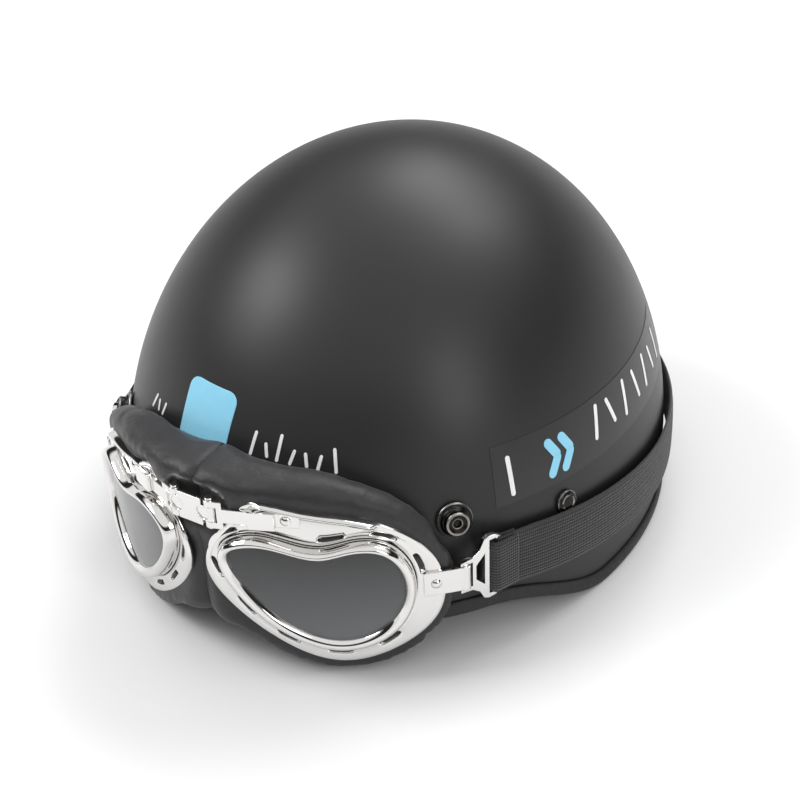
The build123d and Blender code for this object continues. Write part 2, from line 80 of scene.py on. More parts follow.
shell_low, shell_high = node_box("outer_shell")
MIDDLE_Y = (shell_low[1] + shell_high[1]) / 2  # the helmet's own middle
HALF_WIDTH = (shell_high[0] - shell_low[0]) / 2
HALF_LENGTH = (shell_high[1] - shell_low[1]) / 2
CROWN = shell_high[2]
SKIRT = 27.0  # height of the upright lower wall
RISE = CROWN - SKIRT
SHELL = 3.2  # the shell's wall
LINER = 25.6  # from the shell's outside to the foam's inside
RIM_RISE = 20.0  # the rim over the brow is this much higher than at the sides
RIM_BROW_Y = -85.0  # Y from the helmet's middle, where it starts to fall
RIM_SIDE_Y = -25.0  # and where it is down

PIN = joint_place("left_eye_hinge")
LOOP_HINGE = joint_place("left_loop_hinge")
CHORD = math.radians(30.0)  # how far each eye frame turns back
WRAP = 190.0  # radius that it is bent to
MID = 43.0  # middle of the bend, along the frame from the bridge pin
BEND_DEPTH = math.sqrt(WRAP**2 - MID**2)
LOOP_WAY = math.radians(62.8)
LOOP_ALONG = np.array([math.cos(LOOP_WAY), math.sin(LOOP_WAY), 0])  # from the clip to the loop's rod
LOOP_FACE = np.array([math.sin(LOOP_WAY), -math.cos(LOOP_WAY), 0])  # off the head
ROD_AT = 14.3  # from the clip's hinge to the loop's rod
CLIP_UP = LOOP_HINGE[2] - PIN[2]
STUD = (80.5, 64.0)  # X and Z on the shell
RIVET = (107.0, 54.3)

# outlines in the eye's own plane: along from the bridge pin, and up
LENS_OUTLINE = [(7.4, -15.0), (17.0, -11.8), (28.5, -13.9), (40.5, -16.6), (52.0, -13.9), (62.0, -15.0),
                (69.5, -24.5), (70.6, -37.5), (62.5, -50.8), (46.0, -56.4), (30.0, -50.8), (14.5, -36.0)]
BEZEL_OUTLINE = [(3.3, -13.2), (14.0, -8.0), (28.0, -10.4), (40.5, -13.0), (52.5, -10.2), (64.5, -11.8),
                 (73.8, -23.0), (75.2, -38.5), (66.8, -54.6), (45.6, -62.2), (26.8, -55.0), (10.4, -39.5)]
FRAME_OUTLINE = [(-0.4, -12.0), (7.6, -1.5), (13.5, 5.7), (30.0, 5.0), (47.0, 1.6), (63.0, -3.2),
                 (77.5, -14.0), (86.2, -30.0), (84.4, -49.5), (70.0, -63.8), (44.5, -70.4), (21.0, -59.8),
                 (3.5, -43.5), (-4.6, -27.0)]
PAD_OUTLINE = [(-14.0, 14.0), (10.0, 15.2), (36.0, 13.8), (60.0, 7.6), (79.0, -5.0), (90.2, -24.0),
               (89.6, -50.0), (76.0, -68.5), (46.0, -77.4), (20.0, -69.5), (2.0, -58.0), (-14.0, -54.0)]
PAD_HOLE = [(10.0, -18.0), (40.0, -19.5), (64.0, -18.0), (69.0, -37.0), (60.0, -49.5), (45.5, -54.0),
            (31.0, -49.0), (16.0, -35.0)]
LENS_MIDDLE = np.array([38.0, -34.0])
# the middle of the strap: Y from the helmet's middle, and height
STRAP_LINE = [(-160.0, 51.4), (20.0, 32.4), (160.0, 26.0)]
STRAP_LIFT = 2.2  # gap between shell and strap
STRAP_THICK = 2.0
STRAP_HALF = 12.5
STRAP_REACH = HALF_LENGTH + STRAP_LIFT + 1  # the strap's own half length round the helmet


# ---------------- meshes
CRISP_SHARE = 0.03  # how near a bar's end its extra row of points is, as a share of the last step


def new_mesh(name, points, faces):
    """A smooth object from points in millimetres and faces as lists of indices."""
    mesh = bpy.data.meshes.new(name)
    mesh.from_pydata((np.array(points, float) * MM).tolist(), [], faces)
    mesh.validate()
    mesh.update()
    for polygon in mesh.polygons:
        polygon.use_smooth = True
    piece = bpy.data.objects.new(name, mesh)
    bpy.context.scene.collection.objects.link(piece)
    return piece


def grid_faces(rows, columns, close_rows=False, close_columns=False, first=0):
    """The faces between rows of points, from row to row and round each row where it is closed."""
    faces = []
    for r in range(rows if close_rows else rows - 1):
        for c in range(columns if close_columns else columns - 1):
            r2, c2 = (r + 1) % rows, (c + 1) % columns
            faces.append((first + r * columns + c, first + r * columns + c2,
                          first + r2 * columns + c2, first + r2 * columns + c))
    return faces


def tube_faces(rows, columns, first=0):
    """The faces of a closed tube of rows, with both ends filled."""
    last = first + (rows - 1) * columns
    return grid_faces(rows, columns, close_columns=True, first=first) + [
        tuple(range(first, first + columns))[::-1], tuple(range(last, last + columns))]


def outward(piece):
    """Turn every face of a closed mesh outward."""
    work = bmesh.new()
    work.from_mesh(piece.data)
    bmesh.ops.recalc_face_normals(work, faces=work.faces)
    work.to_mesh(piece.data)
    work.free()
    return piece


def ring_mesh(name, grid):
    """A closed band from grid[station][section point], joined end to end."""
    stations, sections = grid.shape[:2]
    faces = grid_faces(stations, sections, close_rows=True, close_columns=True)
    return outward(new_mesh(name, grid.reshape(-1, 3), faces))


def lay_weave(piece, uv):
    """The weave's own map, from uv[station][section point] in metres."""
    layer = piece.data.uv_layers.new(name="weave")
    flat = uv.reshape(-1, 2)
    for corner in piece.data.loops:
        layer.data[corner.index].uv = flat[corner.vertex_index]


def strip_mesh(name, grid, uv=None):
    """A closed bar from grid[station][section point], with its two ends filled and their edges kept crisp."""
    def crisp(rows):
        first = rows[:1] + (rows[1:2] - rows[:1]) * CRISP_SHARE
        last = rows[-1:] + (rows[-2:-1] - rows[-1:]) * CRISP_SHARE
        return np.concatenate([rows[:1], first, rows[1:-1], last, rows[-1:]])

    grid = crisp(grid)
    piece = outward(new_mesh(name, grid.reshape(-1, 3), tube_faces(*grid.shape[:2])))
    for polygon in piece.data.polygons:
        polygon.use_smooth = len(polygon.vertices) == 4
    if uv is not None:
        lay_weave(piece, crisp(uv))
    return piece


def smooth_more(piece):
    modifier = piece.modifiers.new("smooth", "SUBSURF")
    modifier.levels = modifier.render_levels = 1


def apply_modifiers(piece):
    graph = bpy.context.evaluated_depsgraph_get()
    mesh = bpy.data.meshes.new_from_object(piece.evaluated_get(graph))
    piece.modifiers.clear()
    old = piece.data
    piece.data = mesh
    bpy.data.meshes.remove(old)


def points_of(piece):
    """A mesh's points in millimetres."""
    flat = np.zeros(len(piece.data.vertices) * 3)
    piece.data.vertices.foreach_get("co", flat)
    return flat.reshape(-1, 3) / MM


def move_points(piece, points):
    piece.data.vertices.foreach_set("co", (points * MM).ravel())
    piece.data.update()


def mirrored(piece, name):
    """The same piece on the wearer's right."""
    mesh = piece.data.copy()
    mesh.transform(Matrix.Scale(-1, 4, (1, 0, 0)))
    mesh.flip_normals()
    twin = bpy.data.objects.new(name, mesh)
    bpy.context.scene.collection.objects.link(twin)
    if piece.modifiers:
        smooth_more(twin)
    return twin


def smooth_step(part):
    """A ramp from 0 to 1 that starts and ends level."""
    return part * part * (3 - 2 * part)


def first_clear(is_clear, low, high, steps):
    """The smallest value between low and high, for each point, at which is_clear holds."""
    for _ in range(steps):
        middle = (low + high) / 2
        clear = is_clear(middle)
        high, low = np.where(clear, middle, high), np.where(clear, low, middle)
    return high


# ---------------- the helmet's surface
def shell_point(angle, height, offset=0.0):
    """A point on the shell's outside: angle from straight ahead towards the wearer's left."""
    angle, height = np.broadcast_arrays(np.asarray(angle, float), np.asarray(height, float))
    level = np.clip((height - SKIRT) / (RISE + offset), 0, 1)
    ring = np.sqrt(1 - level**2)
    return np.stack([(HALF_WIDTH + offset) * ring * np.sin(angle),
                     MIDDLE_Y - (HALF_LENGTH + offset) * ring * np.cos(angle), height], -1)


def dome_point(angle, lift, offset=0.0):
    """A point on the dome: lift is 0 at its foot and a right angle at the crown."""
    angle, lift = np.broadcast_arrays(np.asarray(angle, float), np.asarray(lift, float))
    return np.stack([(HALF_WIDTH + offset) * np.cos(lift) * np.sin(angle),
                     MIDDLE_Y - (HALF_LENGTH + offset) * np.cos(lift) * np.cos(angle),
                     SKIRT + (RISE + offset) * np.sin(lift)], -1)


def rim_height(angle, offset=0.0):
    """How high the rim is at an angle round the shell."""
    y = -(HALF_LENGTH + offset) * np.cos(angle)
    part = np.clip((y - RIM_BROW_Y) / (RIM_SIDE_Y - RIM_BROW_Y), 0, 1)
    return RIM_RISE * (1 - smooth_step(part))


def shell_way(x, z, side=1):
    """The place and the outward direction on the shell's front half at x and z."""
    level = max(0.0, z - SKIRT) / RISE
    y = -HALF_LENGTH * math.sqrt(1 - level**2 - (x / HALF_WIDTH) ** 2)
    normal = Vector((side * x / HALF_WIDTH**2, y / HALF_LENGTH**2, level / RISE)).normalized()
    return np.array([side * x, y + MIDDLE_Y, z]), np.array(normal)


def outside_of_dome(points, offset):
    """Above 1 where a point is outside the dome that is offset from the shell."""
    x = points[..., 0] / (HALF_WIDTH + offset)
    y = (points[..., 1] - MIDDLE_Y) / (HALF_LENGTH + offset)
    z = np.maximum(points[..., 2] - SKIRT, 0) / (RISE + offset)
    return x * x + y * y + z * z


# ---------------- the eye's bent plane
EYE_X = np.array([math.cos(CHORD), math.sin(CHORD), 0.0])
EYE_OUT = np.array([math.sin(CHORD), -math.cos(CHORD), 0.0])


def eye_point(along, up, out):
    """A point on the left eye: along the frame from the bridge pin, up, and out in front."""
    along, up, out = np.broadcast_arrays(*(np.asarray(v, float) for v in (along, up, out)))
    turn = np.arcsin(np.clip((along - MID) / WRAP, -1, 1))
    across = along + out * np.sin(turn)
    forward = (WRAP + out) * np.cos(turn) - BEND_DEPTH
    base = PIN + across[..., None] * EYE_X + forward[..., None] * EYE_OUT
    return base + up[..., None] * np.array([0.0, 0.0, 1.0])


def closed_curve(points, count):
    """Points along the smooth closed curve (a periodic cubic spline) through the given points."""
    points = np.array(points, float)
    size = len(points)
    step = np.linalg.norm(np.roll(points, -1, 0) - points, axis=1)
    matrix = np.zeros((size, size))
    right = np.zeros((size, 2))
    for i in range(size):
        before, after, ahead = step[i - 1], step[i], (i + 1) % size
        matrix[i, i - 1] += before
        matrix[i, i] += 2 * (before + after)
        matrix[i, ahead] += after
        right[i] = 6 * ((points[ahead] - points[i]) / after - (points[i] - points[i - 1]) / before)
    bend = np.linalg.solve(matrix, right)
    knots = np.cumsum(step)
    part = np.arange(count) / count * knots[-1]
    i = np.minimum(np.searchsorted(knots, part, side="right"), size - 1)
    j, h = (i + 1) % size, step[i][:, None]
    b = (part - knots[i])[:, None] / h + 1
    a = 1 - b
    return a * points[i] + b * points[j] + ((a**3 - a) * bend[i] + (b**3 - b) * bend[j]) * h * h / 6


def reach(outline, angles):
    """How far a closed outline is from the lens's middle in each direction."""
    curve = closed_curve(outline, 900) - LENS_MIDDLE
    turn = np.mod(np.arctan2(curve[:, 1], curve[:, 0]), TAU)
    order = np.argsort(turn)
    return np.interp(angles, turn[order], np.hypot(curve[:, 0], curve[:, 1])[order], period=TAU)


STEPS = 360
TURNS = np.arange(STEPS) / STEPS * TAU
RAY = np.stack([np.cos(TURNS), np.sin(TURNS)], -1)
LENS_R = reach(LENS_OUTLINE, TURNS)
BEZEL_R = reach(BEZEL_OUTLINE, TURNS)
FRAME_R = reach(FRAME_OUTLINE, TURNS)
PAD_R = reach(PAD_OUTLINE, TURNS)
HOLE_R = reach(PAD_HOLE, TURNS)


def eye_ring(radius, out):
    """One ring of points round the lens."""
    flat = LENS_MIDDLE + RAY * np.broadcast_to(radius, STEPS)[:, None]
    return eye_point(flat[:, 0], flat[:, 1], out)


# ---------------- materials
class Paint:
    """A material's node tree, with short calls for what the materials below need."""

    def __init__(self, name, scale=(1, 1, 1), uv=None, **values):
        self.material = bpy.data.materials.new(name)
        self.material.use_nodes = True
        self.tree = self.material.node_tree
        self.shader = self.tree.nodes["Principled BSDF"]
        for key, value in values.items():
            self.shader.inputs[key.replace("_", " ")].default_value = value
        if uv:
            source = self.add("ShaderNodeUVMap", uv_map=uv).outputs["UV"]
        else:
            source = self.add("ShaderNodeTexCoord").outputs["Object"]
        mapping = self.add("ShaderNodeMapping", Scale=scale)
        self.link(source, mapping.inputs["Vector"])
        self.place = mapping.outputs["Vector"]

    def add(self, kind, **values):
        """A node, with each value set on the node itself or else on its input of that name."""
        node = self.tree.nodes.new(kind)
        for key, value in values.items():
            if hasattr(node, key):
                setattr(node, key, value)
            else:
                node.inputs[key.replace("_", " ")].default_value = value
        return node

    def link(self, out, into):
        self.tree.links.new(out, into)

    def texture(self, kind, output, **values):
        node = self.add(kind, **values)
        self.link(self.place, node.inputs["Vector"])
        return node.outputs[output]

    def noise(self, scale, detail=4.0, roughness=0.55):
        return self.texture("ShaderNodeTexNoise", "Fac", Scale=scale, Detail=detail, Roughness=roughness)

    def cells(self, scale, feature="F1"):
        return self.texture("ShaderNodeTexVoronoi", "Distance", feature=feature, Scale=scale)

    def waves(self, scale, direction):
        return self.texture("ShaderNodeTexWave", "Fac", bands_direction=direction, Scale=scale)

    def spread(self, value, low, high, start=0.0, end=1.0):
        """A value from start to end, spread to run from low to high."""
        node = self.add("ShaderNodeMapRange", From_Min=start, From_Max=end, To_Min=low, To_Max=high)
        self.link(value, node.inputs["Value"])
        return node.outputs["Result"]

    def colours(self, value, dark, light):
        node = self.add("ShaderNodeMix", data_type="RGBA", A=(*dark, 1), B=(*light, 1))
        self.link(value, node.inputs["Factor"])
        self.link(node.outputs["Result"], self.shader.inputs["Base Color"])

    def rough(self, value, low, high):
        self.link(self.spread(value, low, high, 0.3, 0.7), self.shader.inputs["Roughness"])

    def sum(self, first, second, share=0.5):
        """The first value with a share of the second added."""
        node = self.add("ShaderNodeMath", operation="MULTIPLY_ADD")
        self.link(second, node.inputs[0])
        node.inputs[1].default_value = share
        self.link(first, node.inputs[2])
        return node.outputs[0]

    def bump(self, height, distance, strength, under=None):
        """Relief from a height, over the normal that lies under it."""
        node = self.add("ShaderNodeBump", Strength=strength, Distance=distance)
        self.link(height, node.inputs["Height"])
        if under is not None:
            self.link(under, node.inputs["Normal"])
        self.link(node.outputs["Normal"], self.shader.inputs["Normal"])
        return node.outputs["Normal"]

    def soft_edges(self, radius=0.0004):
        return self.add("ShaderNodeBevel", samples=6, Radius=radius).outputs["Normal"]


def make_shell_paint():
    paint = Paint("shell_lacquer", Roughness=0.42, Specular_IOR_Level=0.42)
    broad = paint.noise(14, 3)
    paint.colours(broad, (0.0115, 0.0115, 0.0125), (0.0165, 0.0165, 0.0175))
    paint.rough(broad, 0.385, 0.46)
    paint.bump(paint.noise(1500, 2), 0.00004, 0.35)
    return paint.material


def make_trim_rubber():
    paint = Paint("trim_rubber", Roughness=0.6, Specular_IOR_Level=0.4)
    grain = paint.noise(900, 3)
    paint.colours(paint.noise(60), (0.010, 0.010, 0.011), (0.020, 0.020, 0.021))
    paint.rough(grain, 0.5, 0.7)
    paint.bump(grain, 0.00008, 0.6)
    return paint.material


def make_foam():
    paint = Paint("bead_foam", Roughness=0.8, Specular_IOR_Level=0.3)
    beads = paint.cells(330, "SMOOTH_F1")
    paint.colours(paint.cells(330), (0.030, 0.030, 0.032), (0.012, 0.012, 0.013))
    paint.rough(beads, 0.7, 0.9)
    paint.bump(beads, -0.0006, 0.9)
    return paint.material


def make_lining():
    paint = Paint("mesh_lining", Roughness=0.9, Sheen_Weight=0.5, Sheen_Roughness=0.5)
    holes = paint.cells(620)
    paint.colours(paint.sum(holes, paint.noise(40), 0.4), (0.008, 0.008, 0.009), (0.045, 0.045, 0.048))
    paint.rough(holes, 0.8, 0.95)
    paint.bump(holes, 0.0004, 0.8)
    return paint.material


def make_leather():
    paint = Paint("pad_leather", Roughness=0.5, Specular_IOR_Level=0.45, Sheen_Weight=0.08)
    broad = paint.noise(30, 3)
    paint.colours(broad, (0.0105, 0.0105, 0.012), (0.021, 0.021, 0.023))
    paint.rough(broad, 0.42, 0.58)
    wrinkles = paint.bump(paint.noise(95, 5, 0.6), 0.0013, 0.55)
    paint.bump(paint.cells(1100, "DISTANCE_TO_EDGE"), 0.00012, 0.5, under=wrinkles)
    return paint.material


def make_chrome(name, soft_edges):
    paint = Paint(name, Metallic=1.0, Roughness=0.06)
    paint.colours(paint.noise(35, 3), (0.70, 0.69, 0.675), (0.79, 0.78, 0.765))
    paint.rough(paint.noise(240), 0.035, 0.10)
    paint.bump(paint.noise(90, 2), 0.00006, 0.25, under=paint.soft_edges() if soft_edges else None)
    return paint.material


def make_dark_metal():
    """Black plating, worn bright along its edges."""
    paint = Paint("black_plating", Metallic=1.0, Roughness=0.3)
    worn = paint.spread(paint.add("ShaderNodeNewGeometry").outputs["Pointiness"], 0.0, 1.0, 0.535, 0.60)
    paint.colours(worn, (0.025, 0.024, 0.023), (0.62, 0.60, 0.56))
    paint.rough(paint.noise(500), 0.22, 0.4)
    return paint.material


def make_steel():
    paint = Paint("pin_steel", scale=(1, 60, 1), Metallic=1.0, Roughness=0.3)
    lines = paint.noise(300)
    paint.colours(lines, (0.45, 0.45, 0.45), (0.62, 0.62, 0.61))
    paint.rough(lines, 0.25, 0.4)
    return paint.material


def make_plastic(name, dark, light, low=0.38, high=0.52):
    paint = Paint(name, Roughness=0.45)
    grain = paint.noise(1300, 3)
    paint.colours(paint.noise(50), dark, light)
    paint.rough(grain, low, high)
    paint.bump(grain, 0.00008, 0.5, under=paint.soft_edges())
    return paint.material


def make_woven(name, dark, light, rib, pitch):
    """Woven tape: ribs along its length and a fine weave across. UV is in metres."""
    paint = Paint(name, uv="weave", Roughness=0.85, Sheen_Weight=0.25, Sheen_Roughness=0.4)
    fuzz = paint.noise(2600, 3)
    mixed = paint.sum(paint.waves(rib, "Y"), paint.waves(pitch, "X"))
    paint.colours(paint.sum(mixed, fuzz, 0.6), dark, light)
    paint.rough(fuzz, 0.78, 0.95)
    paint.bump(paint.sum(mixed, fuzz, 0.25), 0.00035, 0.8)
    return paint.material


def make_thread():
    paint = Paint("lacing_thread", Roughness=0.8, Sheen_Weight=0.3)
    strands = paint.noise(1800, 2)
    paint.colours(strands, (0.006, 0.006, 0.006), (0.03, 0.03, 0.03))
    paint.rough(strands, 0.7, 0.9)
    paint.bump(strands, 0.0002, 0.8)
    return paint.material


def make_lens():
    """A smoke tint with a painted reflection of the surroundings: lighter towards the bottom and darker towards the
    top.
    """
    paint = Paint("smoke_lens", Roughness=0.03, IOR=1.5, Transmission_Weight=0.25, Coat_Weight=0.25,
                  Coat_Roughness=0.02)
    height = paint.add("ShaderNodeSeparateXYZ")
    paint.link(paint.place, height.inputs[0])
    # painted reflection: the base colour runs from light grey at the bottom to near black at the top, standing in for
    # the mirrored surroundings over the lens's own smoke tint
    painted_reflection = paint.spread(height.outputs["Z"], 0.0, 1.0, 0.020, 0.066)
    paint.colours(painted_reflection, (0.16, 0.165, 0.17), (0.008, 0.009, 0.010))
    paint.rough(paint.noise(120), 0.02, 0.05)
    return paint.material


def make_film(name, dark, light, low=0.3, high=0.42):
    paint = Paint(name, Roughness=0.35)
    paint.colours(paint.noise(160, 3), dark, light)
    paint.rough(paint.noise(400), low, high)
    return paint.material


def make_floor():
    paint = Paint("studio_floor", Roughness=0.6, Specular_IOR_Level=0.2)
    paint.colours(paint.noise(3), (0.80, 0.80, 0.805), (0.83, 0.83, 0.835))
    return paint.material


SHELL_PAINT = make_shell_paint()
TRIM = make_trim_rubber()
FOAM = make_foam()
LINING = make_lining()
LEATHER = make_leather()
CHROME = make_chrome("chrome_plate", True)
CHROME_FORMED = make_chrome("chrome_formed", False)
DARK_METAL = make_dark_metal()
STEEL = make_steel()
PLASTIC = make_plastic("black_moulding", (0.012, 0.012, 0.013), (0.02, 0.02, 0.021))
RED = make_plastic("red_moulding", (0.42, 0.012, 0.012), (0.52, 0.02, 0.018), 0.3, 0.4)
ELASTIC = make_woven("elastic_tape", (0.006, 0.006, 0.0065), (0.030, 0.030, 0.032), 226, 330)
WEBBING = make_woven("strap_webbing", (0.008, 0.008, 0.009), (0.04, 0.04, 0.042), 500, 700)
THREAD = make_thread()
LENS = make_lens()
BLUE = make_film("blue_film", (0.24, 0.62, 0.83), (0.30, 0.68, 0.88))
WHITE = make_film("white_film", (0.80, 0.80, 0.80), (0.9, 0.9, 0.9))
CLEAR_FILM = make_film("clear_film", (0.0115, 0.0115, 0.0125), (0.0165, 0.0165, 0.0175), 0.33, 0.38)


def finish_piece(piece, body, material, replaces=()):
    """Everything that a new piece needs: material, slot, body and the nodes that it stands for."""
    piece.data.materials.clear()
    piece.data.materials.append(material)
    if "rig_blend" not in piece:
        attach(piece, body)
    if replaces:
        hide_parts(*replaces)


def finish_pair(piece, kind, body, material, node):
    """A left piece and its twin on the right, each on its own side's body and for its own side's node."""
    for half, word in ((piece, "left"), (mirrored(piece, f"{kind}_right"), "right")):
        finish_piece(half, f"{body}_{word}", material, [f"{node}_{word}"])


def paint_node(name, material):
    """A better material on a CAD node that keeps its shape."""
    for place in nodes[name].material_slots:
        place.material = material


# ---------------- shell, trim, foam, lining
ROUND = np.arange(240) / 240 * TAU


def build_shell():
    """The shell's outside from rim to crown, then its inside back down to the rim."""
    foot = rim_height(ROUND) + 1.6
    rows = [shell_point(ROUND, foot + (SKIRT - foot) * part) for part in np.linspace(0, 1, 7)]
    rows += [dome_point(ROUND, lift) for lift in np.linspace(0, math.pi / 2, 52)[1:-1]]
    outer = len(rows)
    rows += [dome_point(ROUND, lift, -SHELL) for lift in np.linspace(0, math.pi / 2, 40)[1:-1][::-1]]
    rows += [shell_point(ROUND, foot + (SKIRT - foot) * part, -SHELL) for part in np.linspace(1, 0, 5)]
    count = len(ROUND)
    faces = grid_faces(len(rows), count, close_rows=True, close_columns=True)
    del faces[(outer - 1) * count:outer * count]  # no wall between the two crowns
    top = len(rows) * count
    for c in range(count):
        faces.append(((outer - 1) * count + c, (outer - 1) * count + (c + 1) % count, top))
        faces.append((outer * count + (c + 1) % count, outer * count + c, top + 1))
    points = np.concatenate(rows + [[[0, MIDDLE_Y, CROWN]], [[0, MIDDLE_Y, CROWN - SHELL]]])
    piece = outward(new_mesh("helmet_shell", points, faces))
    finish_piece(piece, "helmet", SHELL_PAINT, ["outer_shell"])


def build_trim():
    section = [(0.0, 7.0), (0.9, 6.8), (1.35, 6.1), (1.5, 4.0), (1.45, 1.6), (1.05, 0.45), (0.1, 0.02),
               (-1.6, 0.0), (-3.3, 0.02), (-4.2, 0.45), (-4.6, 1.6), (-4.65, 4.0), (-4.5, 6.1), (-4.1, 6.8),
               (-3.2, 7.0), (-3.1, 3.0), (-0.1, 3.0)]
    rows = [shell_point(ROUND, rim_height(ROUND) + up, out) for out, up in section]
    piece = ring_mesh("edge_trim_roll", np.stack(rows, 1))
    finish_piece(piece, "helmet", TRIM, ["edge_trim"])


def build_head_band():
    """Cloth covered pads round the head, with a sewn valley between each and its neighbour."""
    pads, high, deepest = 10, 45.4, 8.4
    angles = np.arange(400) / 400 * TAU
    valley = np.abs(np.sin(angles * pads / 2)) ** 0.35
    bottom = rim_height(angles, -30) + 5.3
    section = []  # share of the pads' height, share of their depth
    for part, deep in ((0.0, 0.05), (0.0, 0.5), (0.03, 0.82), (0.12, 0.97), (0.3, 1.0), (0.46, 0.98),
                       (0.5, 0.86), (0.54, 0.98), (0.7, 1.0), (0.88, 0.97), (0.97, 0.82), (1.0, 0.5),
                       (1.0, 0.05)):
        offset = -LINER - deepest * deep * (0.45 + 0.55 * valley)
        section.append(shell_point(angles, bottom + high * part, offset))
    piece = ring_mesh("head_band_pads", np.stack(section, 1))
    finish_piece(piece, "helmet", LINING, ["head_band"])


def build_crown_pad():
    """A round quilted pad under the crown: puffed between six radial seams and one ring seam."""
    angles = np.arange(144) / 144 * TAU
    radius, deepest = 57.0, 8.3
    outer_lift = math.acos(radius / (HALF_WIDTH - LINER + 0.1))
    radial = np.abs(np.sin(angles * 3)) ** 0.4

    def ring(part, depth):
        return dome_point(angles, outer_lift + (math.pi / 2 - outer_lift) * part, -depth)

    rings = []
    for part in np.linspace(0.0, 0.985, 26):
        edge = min(1.0, part / 0.07) ** 0.5
        seam = min(1.0, abs(part - 0.55) / 0.05) ** 0.5
        puff = deepest * edge * (0.55 + 0.45 * seam) * (0.6 + 0.4 * radial)
        rings.append(ring(part, LINER + 0.1 + puff))
    rings += [ring(part, LINER) for part in (0.97, 0.5, 0.1, 0.0)]
    piece = ring_mesh("crown_pad_quilt", np.stack(rings))
    finish_piece(piece, "helmet", LINING, ["crown_pad"])


# ---------------- turned metal: studs and rivets
def lathe(name, place, axis, profile, steps=64):
    """A turned piece: profile of radius and height along the axis, closed at both ends."""
    axis = Vector(axis).normalized()
    across = axis.orthogonal().normalized()
    other = axis.cross(across)
    turns = np.arange(steps) / steps * TAU
    circle = np.cos(turns)[:, None] * np.array(across) + np.sin(turns)[:, None] * np.array(other)
    grid = np.stack([place + circle * radius + np.array(axis) * height for radius, height in profile])
    return outward(new_mesh(name, grid.reshape(-1, 3), tube_faces(len(profile), steps)))


def build_studs():
    stud_profile = [(2.0, -4.6), (2.0, 0.3), (7.0, 0.35), (7.4, 0.7), (7.3, 1.5), (6.9, 1.85), (6.3, 1.8),
                    (5.9, 1.9), (5.7, 2.3), (5.5, 2.75), (5.1, 2.85), (4.85, 3.0), (4.75, 3.4), (4.7, 4.4),
                    (4.85, 5.0), (4.6, 5.5), (3.9, 5.6), (3.4, 5.3), (3.1, 4.6), (2.6, 4.5), (2.2, 4.8),
                    (1.75, 4.7), (1.6, 4.2), (1.55, 3.2), (0.6, 3.1)]
    rivet_profile = [(2.1, -3.2), (2.1, 0.3), (4.6, 0.4), (4.9, 0.8), (4.75, 1.4), (4.2, 1.75), (3.6, 2.0),
                     (2.6, 2.2), (1.4, 2.3), (0.4, 2.32)]
    for side, word in ((1, "left"), (-1, "right")):
        place, way = shell_way(*STUD, side)
        stud = lathe(f"snap_stud_turned_{word}", place, way, stud_profile)
        finish_piece(stud, "helmet", DARK_METAL, [f"snap_stud_{word}"])
        place, way = shell_way(*RIVET, side)
        head = lathe(f"strap_rivet_head_{word}", place, way, rivet_profile)
        finish_piece(head, "helmet", DARK_METAL)
        paint_node(f"strap_rivet_{word}", DARK_METAL)


# ---------------- eye metal
def lace_marks():
    """How deep each lacing slot is at each place round the lens, 0 to 1, and how far the slots' middles are."""
    slots, slot_half, fade = 11, 4.6, 0.7
    flat = LENS_MIDDLE + RAY * BEZEL_R[:, None]
    steps = np.linalg.norm(np.roll(flat, -1, 0) - flat, axis=1)
    length = np.concatenate([[0], np.cumsum(steps)[:-1]])
    total = steps.sum()
    middles = (np.arange(slots) + 0.5) / slots * total
    gap = np.abs(length[:, None] - middles[None, :])
    gap = np.minimum(gap, total - gap)
    along, up = flat[np.argmin(gap, 0)].T
    under_clip = (np.abs(up - CLIP_UP) < 9) & (along > MID)
    under_arm = (up > -14) & (along < 36) & (along > 9)
    gap = gap[:, ~(under_clip | under_arm)]
    return np.clip((slot_half - gap.min(1)) / fade, 0, 1), gap


def build_bezel():
    bezel_section = [(0.0, 0.4), (0.0, 3.75), (0.07, 4.5), (0.22, 5.5), (0.42, 6.0), (0.62, 5.85), (0.8, 5.0),
                     (0.92, 3.4), (0.985, 1.6), (1.0, 0.55), (1.0, -1.3), (0.5, -1.45), (0.0, -1.0)]
    rows = [eye_ring(LENS_R + (BEZEL_R - LENS_R) * part, out) for part, out in bezel_section]
    bezel = ring_mesh("bezel_bead_left", np.stack(rows, 1))
    smooth_more(bezel)
    finish_pair(bezel, "bezel_bead", "eye", CHROME_FORMED, "lens_bezel")


def build_flange(marks):
    """The eye frame round the bezel, with its lacing slots, and a lip along its top."""
    width = FRAME_R - BEZEL_R
    lip_start, lip_end = math.radians(50), math.radians(119)
    lip = np.clip(np.minimum(TURNS - lip_start, lip_end - TURNS) / math.radians(6), 0, 1)
    lip = smooth_step(lip)
    section = (
        (0.15, 0.2), (0.35, 0.45), (1.2, 0.62), (1.95, 0.72), (2.15, 0.72 - 0.9 * marks),
        (2.4, 0.72 - 1.7 * marks), (3.5, 0.72 - 1.7 * marks), (3.75, 0.72 - 0.9 * marks), (3.95, 0.74),
        (np.maximum(width * 0.6, 4.4), 0.85), (width - 2.3, 0.95 + 0.15 * lip), (width - 2.0, 0.95 + 2.3 * lip),
        (width - 1.5, 0.95 + 2.7 * lip), (width - 0.95, 0.85 + 2.6 * lip), (width - 0.45, 0.65 + 1.9 * lip),
        (width - 0.1, 0.1), (width + 0.0, -0.7), (width - 0.25, -1.35), (width - 0.9, -1.5),
        (width * 0.5, -1.5), (0.15, -1.4))
    rows = [eye_ring(BEZEL_R + distance, out) for distance, out in section]
    flange = ring_mesh("eye_flange_left", np.stack(rows, 1))
    smooth_more(flange)
    finish_pair(flange, "eye_flange", "eye", CHROME_FORMED, "eye_frame")


